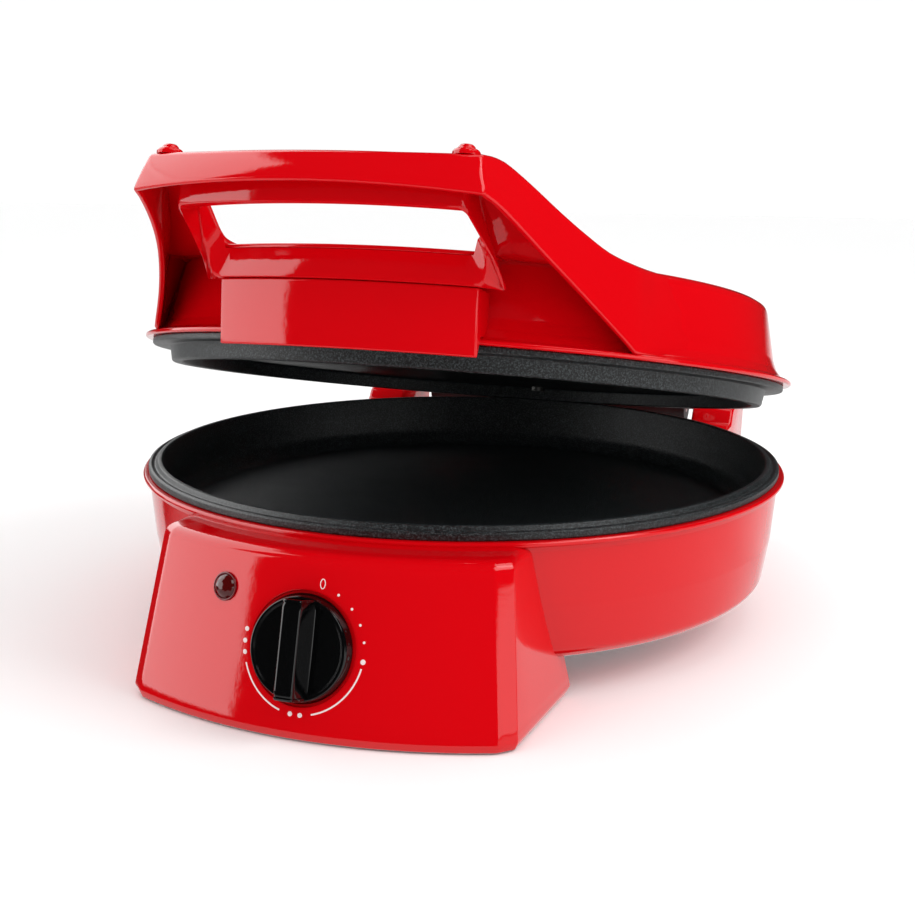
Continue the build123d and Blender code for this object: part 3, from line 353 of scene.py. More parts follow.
# Rows of the camera's turn: right, up and back, then small turns about back, right and up
def cameraTurn(azimuth, elevation, roll, yaw, pitch):
    a, e = np.radians(azimuth), np.radians(elevation)
    back = np.array([np.sin(a) * np.cos(e), -np.cos(a) * np.cos(e), np.sin(e)])
    right = np.array([np.cos(a), np.sin(a), 0.0])
    turn = np.array([right, np.cross(back, right), back])
    for i, j, angle in ((2, 0, yaw), (1, 2, pitch), (0, 1, roll)):
        step = np.eye(3)
        step[i, i] = step[j, j] = np.cos(np.radians(angle))
        step[i, j], step[j, i] = -np.sin(np.radians(angle)), np.sin(np.radians(angle))
        turn = step @ turn
    return turn


camera = bpy.data.objects.new("camera", bpy.data.cameras.new("camera"))
scene.collection.objects.link(camera)
camera.data.sensor_width, camera.data.lens = view["sensor"], view["lens"]
camera.data.sensor_fit = "AUTO"
camera.data.clip_start, camera.data.clip_end = view["near"], view["far"]
turn = cameraTurn(view["azimuth"], view["elevation"], view["roll"], view["yaw"], view["pitch"])
camera.matrix_world = Matrix.Translation(view["place"]) @ Matrix(turn.T.tolist()).to_4x4()
scene.camera = camera
print("camera placed")

# Base shell: the pressed bowl, the housing in front of it and the two rear legs. The housing's foot levels are
# heights with insets, and its drawn levels are shares of the way to the bowl's wall with rises
bowl = {"profile": [(118, 22.5), (118, 20), (155.2, 20), (159.4, 24.3), (161.2, 36), (162.7, 46),
                    (164.8, 71.6), (165.6, 74.1), (167.2, 74.2), (168.0, 74.8), (168.0, 75.9),
                    (167.3, 76.7), (162.4, 76.7), (162.1, 73), (159.8, 44), (157.6, 30), (153.4, 22.5)],
        "rounds": [0, 0, 5, 6, 20, 20, 1.4, 0.6, 0.5, 0.7, 0.7, 0.6, 0.4, 4, 20, 8, 5],
        "wallHeights": [20.0, 21.0, 22.0, 28.0, 44.0, 74.2, 80.0],
        "wallRadii": [150.5, 150.5, 156.6, 158.9, 161.2, 163.6, 163.7]}
housing = {"height": 74.6, "faceHigh": 192.8, "halfLow": 83.5, "halfHigh": 74.6, "halfInset": 0.6,
           "sideLow": 89.5, "sideHigh": 80.8, "rear": 94.0, "rearY": -112.0, "chamfer": 5.6, "topRound": 4.4,
           "faceRound": 16.0, "sideRound": 1.2, "rearRadius": 150.5, "underBowl": 20.0, "arcPoints": 57,
           "backPoints": 48, "sideStart": 0.25,
           "foot": [(3.0, 2.8), (0.8, 2.7), (0.8, 2.3), (1.1, 1.8), (3.8, 0.25), (4.8, 0.0)],
           "drawn": [(0.25, 0.15), (0.6, 0.3), (1.0, 0.35)],
           "holeLow": 10.0, "holeHigh": 64.0, "holeRows": 13, "holeShare": 0.4}
legs = {"radius": 9.0, "ring": 137.5, "angles": (40, 140), "low": 3.0, "high": 21.0, "flare": 2.0,
        "flareHeight": 2.5, "rounds": [0, 1.2, 3, 0, 0]}


# Middle of the bowl's wall at a height, where everything that joins the bowl ends
def bowlWall(height):
    return np.interp(height, bowl["wallHeights"], bowl["wallRadii"])


# One level of the housing: a front arc, two rounded corners, two sides, and an arc in the bowl's wall behind
def housingRing(height, inset, rearRadius=None):
    share = height / housing["height"]
    radius = place["faceRadius"] + (housing["faceHigh"] - place["faceRadius"]) * share - inset
    half = housing["halfLow"] + (housing["halfHigh"] - housing["halfLow"]) * share
    half = half - inset * housing["halfInset"]
    side = housing["sideLow"] + (housing["sideHigh"] - housing["sideLow"]) * share - inset
    rear = housing["rear"] + (housing["sideHigh"] - housing["rear"]) * share - inset
    angle = np.linspace(-1, 1, housing["arcPoints"]) * np.arcsin(half / radius)
    arc = np.stack([radius * np.sin(angle), place["faceShift"] - radius * np.cos(angle)], -1)
    corner = np.array([side, arc[-1, 1] + housing["chamfer"]])
    away = np.array([rear, housing["rearY"]]) - corner
    rearRadius = bowlWall(height) if rearRadius is None else rearRadius
    a, b, c = away @ away, corner @ away, corner @ corner - rearRadius ** 2
    end = corner + away * (-b - np.sqrt(b * b - a * c)) / a
    rightLine = roundedLine([arc[-2], arc[-1], corner, end],
                            [0, housing["faceRound"], housing["sideRound"], 0], 8)[1:]
    run = end - rightLine[-2]
    sideRows = rightLine[-2] + run * np.linspace(housing["sideStart"], 1, 4)[:, None]
    rightLine = np.concatenate([rightLine[:-1], sideRows])
    turnEnd = np.arctan2(end[0], -end[1])
    turns = np.linspace(turnEnd, -turnEnd, housing["backPoints"])[1:-1]
    back = rearRadius * np.stack([np.sin(turns), -np.cos(turns)], -1)
    line = np.concatenate([arc[1:-1], rightLine, back, rightLine[::-1] * (-1, 1)])
    return np.column_stack([line, np.full(len(line), height)])


# The last levels of the housing's top: every point drawn radially to the bowl's wall
def drawnIn(ring, share, height):
    reach = np.linalg.norm(ring[:, :2], axis=1, keepdims=True)
    target = np.minimum(reach, bowlWall(housing["height"]) + 0 * reach)
    flat = ring[:, :2] * ((1 - share) + share * target / reach)
    return np.column_stack([flat, np.full(len(ring), height)])


fillet = np.linspace(0, np.pi / 2, 8)
holeRows = np.linspace(housing["holeLow"], housing["holeHigh"], housing["holeRows"])
firstHole = len(housing["foot"])
levels = housing["foot"] + [(height, 0.0) for height in holeRows]
levels += [(housing["height"] - housing["topRound"] * (1 - np.sin(t)), housing["topRound"] * (1 - np.cos(t)))
           for t in fillet]
rings = [housingRing(height, inset, housing["rearRadius"] + inset if height < housing["underBowl"] else None)
         for height, inset in levels]
topRing = rings[-1]
rings += [drawnIn(topRing, share, housing["height"] + rise) for share, rise in housing["drawn"]]
housingSkin = np.stack(rings)
arcShare = np.linspace(-1, 1, housing["arcPoints"])[1:-1]
holeColumns = np.flatnonzero(np.abs(arcShare) < housing["holeShare"])
firstColumn, lastColumn = holeColumns[0], holeColumns[-1]
lastHole = firstHole + len(holeRows) - 1
kept = np.ones((len(rings) - 1, housingSkin.shape[1]), bool)
kept[firstHole:lastHole, firstColumn:lastColumn] = False

# The knob's seat: the face round it, drawn from the hole's edge to a circle, then a wall and a flat floor
seat = {"circle": 24.2, "depth": 2.0, "shares": (0.35, 0.65, 0.88, 1.0), "lip": [(23.85, -0.15), (23.7, -0.5)],
        "floor": (23.7, 23.3, 5.0, 0.001)}
bottomEdge = housingSkin[firstHole, firstColumn:lastColumn]
rightEdge = housingSkin[firstHole:lastHole, lastColumn]
topEdge = housingSkin[lastHole, lastColumn:firstColumn:-1]
leftEdge = housingSkin[lastHole:firstHole:-1, firstColumn]
holeEdge = np.concatenate([bottomEdge, rightEdge, topEdge, leftEdge])
edgeUp = holeEdge[:, 2] / faceCos
edgeAcross = np.arctan2(holeEdge[:, 0], place["faceShift"] - holeEdge[:, 1])
edgeAcross = edgeAcross * (place["faceRadius"] - edgeUp * faceSin)
edgeTurn = np.arctan2(edgeAcross, edgeUp - place["dialUp"])
turnX, turnUp = np.sin(edgeTurn), np.cos(edgeTurn)
faceRings = [onBase(holeEdge)]
for share in seat["shares"]:
    x = edgeAcross + (seat["circle"] * turnX - edgeAcross) * share
    up = edgeUp + (place["dialUp"] + seat["circle"] * turnUp - edgeUp) * share
    faceRings.append(onFace(np.stack([x, up, 0 * x], -1)))
for reach, out in seat["lip"]:
    faceRings.append(onFace(np.stack([reach * turnX, place["dialUp"] + reach * turnUp, 0 * turnX + out], -1)))
for reach in seat["floor"]:
    faceRings.append(onDial(np.stack([reach * turnX, reach * turnUp, 0 * turnX - seat["depth"]], -1)))

# The two hinge towers: outline seen from the side, as depth and height
tower = {"inner": 96.0, "outer": 121.0, "round": 2.2, "middle": (160.0, 66.0),
         "outline": [(148, 76.2), (154, 84), (176, 91.4), (188, 93.0), (196, 90.5), (201.5, 80), (198, 60),
                     (163, 42), (100, 42), (100, 75.4)],
         "rounds": [4, 9, 9, 10, 10, 9, 7, 5, 1, 1]}
towerLine = denser(roundedLine(tower["outline"], tower["rounds"], 6, closed=True), 4, closed=True)


# A tower: its side outline, drawn in near both flat ends along a quarter arc, and ended in the bowl's wall
def towerSkin(side):
    middle = np.array(tower["middle"])
    steps = np.linspace(0, np.pi / 2, 6)
    out, cuts = tower["round"] * (1 - np.sin(steps)), tower["round"] * (1 - np.cos(steps))
    across = np.concatenate([tower["inner"] + out[::-1], tower["outer"] - out])
    inset = np.concatenate([cuts[::-1], cuts])
    away = towerLine - middle
    reach = np.linalg.norm(away, axis=1, keepdims=True)
    rings = []
    for x, cut in zip(across, inset):
        ring = middle + away * (1 - cut / reach)
        inWall = np.sqrt(np.maximum(bowlWall(ring[:, 1]) ** 2 - x * x, 0))
        ring[:, 0] = np.maximum(ring[:, 0], inWall)
        rings.append(np.column_stack([np.full(len(ring), side * x), ring]))
    return capped(np.stack(rings))


# A rear leg: a turned peg that widens into the bowl's floor
def legSkin(angle):
    profile = [(0, legs["low"]), (legs["radius"], legs["low"]),
               (legs["radius"], legs["high"] - legs["flareHeight"]),
               (legs["radius"] + legs["flare"], legs["high"]), (0, legs["high"])]
    profile = roundedLine(profile, legs["rounds"], 5)
    centre = legs["ring"] * np.array([np.cos(np.radians(angle)), np.sin(np.radians(angle)), 0])
    return turned(profile, pegSteps) + centre


bowlLine = denser(roundedLine(bowl["profile"], bowl["rounds"], 6, closed=True), 9, closed=True)
baseGrids = [(onBase(turned(bowlLine, largeSteps)), True, True), (onBase(housingSkin), False, True, kept),
             (np.stack(faceRings), False, True)]
baseGrids += [(onBase(towerSkin(side)), False, True) for side in (-1, 1)]
baseGrids += [(onBase(legSkin(angle)), True, False) for angle in legs["angles"]]
makePiece("base_body", baseGrids, "base", red, ["base_shell"])
print("base body made")

# The two cooking plates, as closed profiles of radius and height
pan = {"profile": [(0, 49.5), (148.5, 49.5), (157.2, 58.5), (159.2, 71.7), (159.8, 76.7), (164.6, 76.7),
                   (165.2, 77.3), (165.2, 80.0), (163.9, 80.7), (161.8, 79.9), (160.6, 82.2), (158.6, 82.3),
                   (157.9, 81.5), (155.8, 72.4), (154.2, 60), (147.8, 53.0), (0, 53.0)],
       "rounds": [0, 4, 3, 3, 0.3, 0.4, 0.5, 0.8, 0.9, 0.9, 0.9, 0.6, 0.5, 12, 9, 8, 0]}
panLine = denser(roundedLine(pan["profile"], pan["rounds"], 6), 8)
makePiece("cooking_pan", [(onBase(turned(panLine, largeSteps)), True, False)], "base", coated,
          ["lower_pan"])

upper = {"profile": [(0, 0.8), (148.5, 0.8), (149.5, 0), (163.9, 0.0), (164.3, -0.4), (164.3, -2.5),
                     (163.8, -3.0), (156.0, -3.1), (155.5, -3.6), (154.3, -10.2), (153.6, -10.9),
                     (149.3, -10.9), (148.6, -10.4), (147.6, -3.9), (146.6, -3.2), (0, -3.2)],
         "rounds": [0, 0.3, 0.3, 0.2, 0.3, 0.4, 0.3, 0.8, 0.6, 0.5, 0.5, 0.6, 0.5, 1, 1, 0]}
upperLine = denser(roundedLine(upper["profile"], upper["rounds"], 5), 8)
makePiece("grill_plate", [(onLid(turned(upperLine, largeSteps)), True, False)], "lid", coated,
          ["upper_plate"])
print("plates made")

# Lid: a turned drum with a smooth crown, then the skin of the handle, in widths, depths and heights
drum = {"crown": 45.5, "crownDrop": 5.2, "flatTo": 149.3,
        "profile": [(149.3, 40.3), (152.7, 38.4), (153.8, 36.0),
                    (158.6, 12), (160.4, 7.4), (163.6, 3.2), (167.2, 2.3), (168, 1.7), (168, 0.6),
                    (167.3, 0.0), (156.5, 0.0), (156.5, 6.2), (156.1, 14), (151.2, 35.6), (147.4, 37.7),
                    (0, 42.6)],
        "rounds": [3.5, 3, 5, 12, 5, 3.5, 0.8, 0.4, 0.5, 0.4, 0.3, 1, 2, 1, 2, 0]}
handle = {"barLow": 224.3, "barHigh": 218.6, "barBack": 193.0, "bulge": 0.5, "lowZ": 52.0, "topZ": 68.6,
          "deck": 39.7, "wall": 2.6, "slopeStart": -193.0, "slopeEnd": -124.0, "innerSlopeEnd": -161.0,
          "bend": 6.0, "frontDrop": 2.8, "frontRun": 22.0, "lowRise": 1.0, "lowArch": 2.3, "archHalf": 75.0,
          "draft": 3.0, "tip": (76.4, -211.0), "middle": (93.3, -163.0), "foot": (117.0, -122.5),
          "shoulder": (142.0, -74.6), "crease": [(-211.0, 52.0), (-163.0, 30.8), (-122.5, 2.0)],
          "noseRate": 0.125, "noseStart": -165.0, "noseRun": 40.0, "noseWiden": 1.3, "noseLean": 0.3,
          "noseY": -211.4, "noseDrop": 1.3, "noseFade": 8.0, "noseRound": 3.4, "noseX": 73.0,
          "meetSteps": 30,
          "joinStart": -128.0, "joinProud": 0.4, "joinTuck": 1.6, "rearEnd": -64.0,
          "drumHeights": [0, 3, 8, 12, 36, 38.4, 40.2],
          "drumRadii": [163.4, 163.0, 161, 158.6, 153.7, 152.4, 150.0],
          "windowHalf": 60.3, "windowRound": 1.5, "windowRim": 3.4, "deckRim": 2.9,
          "deckFrom": (-165.5, -161.0),
          "frontX": [0, 5, 10, 15, 20, 25, 30, 35, 40, 45, 50, 55, 60, 65, 67.5], "frontEnd": 72.5,
          "rounds": {0: 1.0, 4: 3.4, 9: 1.6, 10: 0.6, 11: 0.6, -1: 1.0}}
frontX = np.array(handle["frontX"], float)


# A circle through three points, given as its middle and radius
def circleThrough(a, b, c):
    a, b, c = np.array(a), np.array(b), np.array(c)
    system = 2 * np.array([b - a, c - a])
    middle = np.linalg.solve(system, [b @ b - a @ a, c @ c - a @ a])
    return middle, np.linalg.norm(middle - a)


cheekMiddle, cheekRadius = circleThrough(handle["tip"], handle["middle"], handle["foot"])
creaseMiddle, creaseRadius = circleThrough(*handle["crease"])


# Half width of the handle at a depth and height: a line, an arc and a line, narrower by the draft upwards,
# and behind the foot it closes softly on the drum's side and slips under it
def cheekX(y, z):
    tip, foot, shoulder = handle["tip"], handle["foot"], handle["shoulder"]
    side = -1 if cheekMiddle[0] > handle["middle"][0] else 1
    inside = np.maximum(cheekRadius ** 2 - (y - cheekMiddle[1]) ** 2, 0)
    arc = cheekMiddle[0] + side * np.sqrt(inside)
    nose = tip[0] + (y - tip[1]) * handle["noseRate"]
    rear = foot[0] + (y - foot[1]) * (shoulder[0] - foot[0]) / (shoulder[1] - foot[1])
    x = np.where(y < tip[1], nose, np.where(y < foot[1], arc, rear)) - z * np.tan(np.radians(handle["draft"]))
    nearNose = smoothStep((handle["noseStart"] - y) / handle["noseRun"])
    x = x + nearNose * (handle["noseWiden"] - handle["noseLean"] * np.maximum(z - handle["lowZ"], 0))
    share = smoothStep((y - handle["joinStart"]) / (shoulder[1] - handle["joinStart"]))
    onDrum = np.interp(z, handle["drumHeights"], handle["drumRadii"]) + handle["joinProud"]
    onDrum = np.sqrt(np.maximum((onDrum - handle["joinTuck"] * share) ** 2 - y * y, 1))
    return np.where(y > shoulder[1], onDrum, x + share * np.minimum(onDrum - x, 0))


# A ramp with a soft start: level, then a parabola over the bend, then straight
def softRamp(distance):
    soft = handle["bend"]
    curve = (distance + soft) ** 2 / (4 * soft)
    return np.where(distance < -soft, 0, np.where(distance > soft, distance, curve))


# Height of the handle's top at a depth: a bar that falls a little to the front, an arm that slopes down to the
# deck, sooner at the window's edge than at the cheek, with soft bends
def topZ(y, inwardShare=0.0):
    start = handle["slopeStart"]
    end = handle["slopeEnd"] + (handle["innerSlopeEnd"] - handle["slopeEnd"]) * inwardShare
    rate = (handle["topZ"] - handle["deck"]) / (end - start)
    drop = handle["frontDrop"] * np.clip((start - y) / handle["frontRun"], 0, 1)
    return handle["topZ"] - drop - rate * (softRamp(y - start) - softRamp(y - end))


# Height of the cheek's lower edge at a depth: level, then an arc down to the lip
def creaseZ(y):
    y = np.asarray(y, float)
    first, middle, last = handle["crease"]
    side = 1 if creaseMiddle[1] < middle[1] else -1
    inside = np.maximum(creaseRadius ** 2 - (y - creaseMiddle[0]) ** 2, 0)
    arc = creaseMiddle[1] + side * np.sqrt(inside)
    return np.where(y < first[0], handle["lowZ"], np.where(y > last[0], last[1], arc))


# A point of the bar's front at a width and a share of its height: bulged arcs, with an arched low edge
def frontPoint(x, share):
    radius = handle["barLow"] + (handle["barHigh"] - handle["barLow"]) * share
    radius = radius + handle["bulge"] * np.sin(np.pi * share)
    low = handle["lowZ"] + handle["lowRise"] - handle["lowArch"] * (x / handle["archHalf"]) ** 2
    high = topZ(-np.sqrt(handle["barHigh"] ** 2 - x ** 2))
    return np.stack([x, -np.sqrt(radius ** 2 - x ** 2), low + (high - low) * share], -1)


# Joins two runs of a line at a rounded corner
def cornered(front, corner, side, radius):
    line = np.concatenate([front, [corner], side])
    radii = np.zeros(len(line))
    radii[len(front)] = radius
    return roundedLine(line, radii, 8)


# One row of the handle's outside at a share of its height, from the bar's middle round the nose to the
# shoulder; the corner, where the bar's front meets the cheek, is found by halving the gap between them
def outerRow(share):
    cornerX = handle["noseX"]
    for _ in range(handle["meetSteps"]):
        _, y, z = frontPoint(np.float64(cornerX), share)
        cornerX = (cornerX + cheekX(y, z)) / 2
    corner = frontPoint(np.float64(cornerX), share)
    lowY = handle["noseY"] + (handle["rearEnd"] - handle["noseY"]) * sideRun
    low = creaseZ(lowY) - handle["noseDrop"] * np.exp((handle["noseY"] - lowY) / handle["noseFade"])
    y = corner[1] + (handle["rearEnd"] - corner[1]) * sideRun
    z = low + (topZ(y) - low) * share
    return cornered(frontPoint(frontX, share), corner, np.stack([cheekX(y, z), y, z], -1), handle["noseRound"])


# The window's edge seen from above: the bar's back arc, a small corner, and the arm's straight side
def innerRow():
    half, radius = handle["windowHalf"], handle["barBack"]
    x = half * (frontX / handle["frontEnd"])
    corner = [half, -np.sqrt(radius ** 2 - half ** 2)]
    y = corner[1] + (handle["rearEnd"] - corner[1]) * sideRun
    return cornered(np.stack([x, -np.sqrt(radius ** 2 - x ** 2)], -1), corner, np.stack([0 * y + half, y], -1),
                    handle["windowRound"])


# Unit normals of lines seen from above, on the side of the points given
def sideways(lines, towards):
    along = np.gradient(lines, axis=-2)
    normal = unit(np.stack([-along[..., 1], along[..., 0]], -1))
    return normal * np.sign(((towards - lines) * normal).sum(-1, keepdims=True))


# Rows of the outside, a top sheet from there to the window, the window's rim, and the same drawn in by the wall
sideRun = np.concatenate([[0.05, 0.075], np.linspace(0.1, 0.6, 22), np.linspace(0.63, 1.0, 12)])
shares = np.array([0.0, 0.2, 0.4, 0.6, 1.0])
outside = np.stack([outerRow(share) for share in shares])
window = innerRow()
outsideTop = outside[-1]
across = np.array([0.2, 0.4, 0.6, 0.8, 1.0])[:, None, None]
top = outsideTop[None, :, :2] + (window[None] - outsideTop[None, :, :2]) * across
topSheet = np.concatenate([top, topZ(top[..., 1:], across)], -1)
windowDepth = np.interp(window[:, 1], handle["deckFrom"], [0.0, 1.0])
windowLow = topSheet[-1, :, 2] - handle["windowRim"]
windowLow = windowLow + (handle["deck"] - handle["deckRim"] - windowLow) * windowDepth
rim = np.column_stack([window, windowLow])
inward, into = sideways(outside[..., :2], window), sideways(window, outsideTop[:, :2])
wall = handle["wall"]
insideRows = np.concatenate([outside[..., :2] + inward * wall, outside[..., 2:]], -1)
insideRows[-1, :, 2] -= wall
insideTop = topSheet[:-1] - np.array([0, 0, wall])
insideEdge = np.column_stack([window + into * wall, topSheet[-1, :, 2] - wall])
insideRim = np.column_stack([window + into * wall, windowLow])
section = np.concatenate([outside, topSheet, rim[None], insideRim[None], insideEdge[None], insideTop[::-1],
                          insideRows[::-1]])
radii = np.zeros(len(section))
radii[list(handle["rounds"])] = list(handle["rounds"].values())
halfRings = np.stack([roundedLine(section[:, n], radii, 6, closed=True) for n in range(section.shape[1])])
mirrorX = np.array([-1.0, 1.0, 1.0])
handleRings = capped(np.concatenate([halfRings[::-1] * mirrorX, halfRings[1:]]))
makePiece("lid_handle", [(onLid(handleRings), False, True)], "lid", red, sharp=40)

# Deck between the arms: a sheet along the drum's front that falls a little to the window
deck = {"line": [(150.3, 39.75), (173.8, 37.1), (173.8, 35.3), (150.3, 36.9)], "rounds": [0, 0.8, 0.4, 0],
        "overlap": 0.6, "points": 41}
deckLine = roundedLine(deck["line"], deck["rounds"], 5, True)
deckX = np.linspace(-1, 1, deck["points"])[:, None] * (handle["windowHalf"] + deck["overlap"])
deckRings = np.stack([deckX + 0 * deckLine[None, :, 0], -np.sqrt(deckLine[None, :, 0] ** 2 - deckX ** 2),
                      deckLine[None, :, 1] + 0 * deckX], -1)
makePiece("handle_deck", [(onLid(capped(deckRings)), False, True)], "lid", red)

# Drum: the crown falls with the square of the radius, and the profile goes on from its edge
crownRadius = np.linspace(0, 1, 15)[:-1] * drum["flatTo"]
crown = np.column_stack([crownRadius, drum["crown"] - drum["crownDrop"] * (crownRadius / drum["flatTo"]) ** 2])
drumLine = roundedLine(np.concatenate([crown, drum["profile"]]), [0] * len(crown) + drum["rounds"], 6)
drumLine = denser(drumLine, 9)
makePiece("lid_drum", [(onLid(turned(drumLine, largeSteps)), True, False)], "lid", red,
          ["lid_shell"])

# Pads on the drum's back that carry the hinge: rounded blocks with a small bevel round their faces
pads = {"inner": 40.0, "outer": 80.0, "top": 20.0, "low": 2.2, "start": 140.0, "face": 172.5, "round": 1.5,
        "bevel": 0.6, "closing": 30.0, "pole": 0.001}
padGrids = []
for side in (-1, 1):
    outline = roundedLine([(pads["inner"], pads["low"]), (pads["outer"], pads["low"]),
                           (pads["outer"], pads["top"]), (pads["inner"], pads["top"])], pads["round"], 4, True)
    depths = (pads["start"], pads["face"] - pads["bevel"], pads["face"], pads["face"])
    middle = outline.mean(0)
    away = outline - middle
    reach = np.linalg.norm(away, axis=1, keepdims=True)
    padRings = []
    for y, cut in zip(depths, (0, 0, pads["bevel"], pads["closing"])):
        ring = middle + away * np.maximum(1 - cut / reach, pads["pole"])
        padRings.append(np.column_stack([side * ring[:, 0], np.full(len(ring), y), ring[:, 1]]))
    padGrids.append((onLid(np.stack(padRings)), False, True))
makePiece("hinge_pads", padGrids, "lid", red)
print("lid made")

# Liner of the handle: a wall round the window with a lip at its front and flared low corners. The loops' rows
# are front and rear radius, half width in front and behind, height over the edge, and the rear corners' radius
liner = {"low": 48.0, "slope": 0.558, "slopeStart": -197.5, "skin": 3.5, "bandTop": 35.2, "bandLow": 22.7,
         "bandFrom": 178.0, "innerBandFrom": 180.6, "bandRun": 4.5, "topFrom": 176.0, "floorRise": 3.8,
         "floorFrom": 183.0, "floorRun": 8.0, "cornerRise": 5.0, "cornerFrom": 176.0, "cornerRun": 17.0,
         "frontRound": 3.0, "counts": {8: 22, 17: 8, 26: 22, 35: 8}}


# Low edge of the liner: level under the bar, sloping along the arms, level again at the band behind
def linerLow(y, radius, bandFrom=liner["bandFrom"]):
    slope = liner["low"] - liner["slope"] * np.maximum(y - liner["slopeStart"], 0)
    band = smoothStep((bandFrom - radius) / liner["bandRun"])
    return slope + (np.minimum(slope, liner["bandLow"]) - slope) * band


# Top edge of the liner: just under the handle's skin, and under the deck at the back
def linerTop(y, radius):
    under = topZ(y, 1.0) - liner["skin"]
    return np.where(radius < liner["topFrom"], np.minimum(under, liner["bandTop"]),
                    np.maximum(under, liner["bandTop"]))


# Inner low edge: higher than the lip by a rise under the bar, and raised with the square of the width towards
# the bar's ends, so that the window's top edge looks straight
def innerLow(y, radius):
    width = (radius ** 2 - y ** 2) / handle["windowHalf"] ** 2
    floor = liner["floorRise"] * np.clip((radius - liner["floorFrom"]) / liner["floorRun"], 0, 1)
    corner = liner["cornerRise"] * width * np.clip((radius - liner["cornerFrom"]) / liner["cornerRun"], 0, 1)
    return linerLow(y, radius, liner["innerBandFrom"]) + floor + corner


# A closed loop round the window: a rounded four-cornered outline in width and radius, wrapped on arcs
def windowLoop(front, rear, halfFront, halfRear, height, raised, rearRound):
    outline = roundedLine([(-halfFront, front), (halfFront, front), (halfRear, rear), (-halfRear, rear)],
                          [liner["frontRound"], liner["frontRound"], rearRound, rearRound], 9, closed=True)
    outline = filled(outline, liner["counts"])
    y = -np.sqrt(outline[:, 1] ** 2 - outline[:, 0] ** 2)
    return np.column_stack([outline[:, 0], y, height(y, outline[:, 1]) + raised])


loops = [windowLoop(*row) for row in (
    (207.0, 171.2, 62.9, 63.0, linerTop, 0, 4), (207.2, 167.6, 63.0, 69.2, linerLow, 1.3, 4),
    (206.9, 167.8, 62.8, 69.1, linerLow, 0.35, 4), (206.2, 168.4, 62.3, 68.7, linerLow, 0, 4),
    (194.6, 175.4, 61.2, 66.8, innerLow, 0, 8), (193.5, 176.1, 60.7, 66.0, innerLow, 0.3, 8.6),
    (193.0, 176.2, 60.3, 65.0, innerLow, 1.5, 9), (193.0, 173.8, 60.3, 60.5, linerTop, 0, 9))]
makePiece("handle_frame", [(onLid(np.stack(loops)), True, True)], "lid", red, ["handle_inner"],
          sharp=40)

# Apron: a front arc with two short returns and a shelf behind its top edge, as a section carried along its plan
apron = {"radius": 171.1, "topRadius": 174.2, "back": 160.5, "half": 59.0, "top": 22.5, "low": -5.5,
         "returnLow": 3.2, "returnRun": 4.0, "returnFrom": -157.5, "wall": 2.6, "shelf": 9.0, "shelfInset": 2.9,
         "corner": 1.6, "cornerLoss": 0.4, "cornerLeast": 0.5, "rounds": [0.8, 0.9, 0.5, 0.5, 0.5, 0.8]}


# Plan of the apron at a radius: the arc, a small corner and the return; an inset draws it in from both sides
def apronPath(radius, inset):
    half = apron["half"] - inset
    angle = np.linspace(-1, 1, 41) * np.arcsin(half / radius)
    arc = radius * np.stack([np.sin(angle), -np.cos(angle)], -1)
    back = [half, -np.sqrt(apron["back"] ** 2 - half ** 2)]
    corner = max(apron["corner"] - apron["cornerLoss"] * inset, apron["cornerLeast"])
    side = roundedLine([arc[-2], arc[-1], [half, arc[-1, 1] + apron["returnRun"]], back],
                       [0, corner, 0, 0], 6)[1:]
    return np.concatenate([side[::-1] * (-1, 1), arc[1:-1], side])


outer, inner = apronPath(apron["radius"], 0.0), apronPath(apron["radius"] - apron["wall"], apron["wall"])
outerTop = apronPath(apron["topRadius"], 0.0)
innerTop = apronPath(apron["topRadius"] - apron["wall"], apron["wall"])
shelf = apronPath(apron["radius"] - apron["shelf"], apron["shelfInset"])
onReturn = (np.abs(outer[:, 0]) > apron["half"] - 0.01) & (outer[:, 1] > apron["returnFrom"])
lowEdge = np.where(onReturn, apron["returnLow"], apron["low"])
highEdge = np.full(len(outer), apron["top"])
apronSection = np.stack([np.column_stack([line, height]) for line, height in (
    (outer, lowEdge), (outerTop, highEdge), (shelf, highEdge), (shelf, highEdge - apron["wall"]),
    (innerTop, highEdge - apron["wall"]), (inner, lowEdge))])
apronRings = np.stack([roundedLine(apronSection[:, n], apron["rounds"], 5, closed=True)
                       for n in range(apronSection.shape[1])])
makePiece("handle_apron", [(onLid(capped(apronRings)), False, True)], "lid", red, ["lid_apron"],
          sharp=40)

# Rest caps: two small turned feet on the bar, with a dimple in their middle
caps = {"x": 63.6, "y": -203.5, "z": 67.1,
        "profile": [(0, 3.1), (0.9, 3.1), (1.3, 3.9), (2.3, 3.8), (3.1, 3.1), (3.5, 2.3), (4.7, 1.8),
                    (5.4, 0.9), (5.4, -0.4), (2.0, -0.4), (2.0, -2.4), (0, -2.4)],
        "rounds": [0, 0.2, 0.3, 0.8, 0.8, 0.8, 0.8, 0.6, 0.1, 0, 0, 0]}
capLine = roundedLine(caps["profile"], caps["rounds"], 5)
capGrids = [(onLid(turned(capLine, pegSteps) + np.array([side * caps["x"], caps["y"], caps["z"]])), True, False)
            for side in (-1, 1)]
makePiece("rest_caps", capGrids, "lid", red, ["lid_feet"])
print("handle trim made")

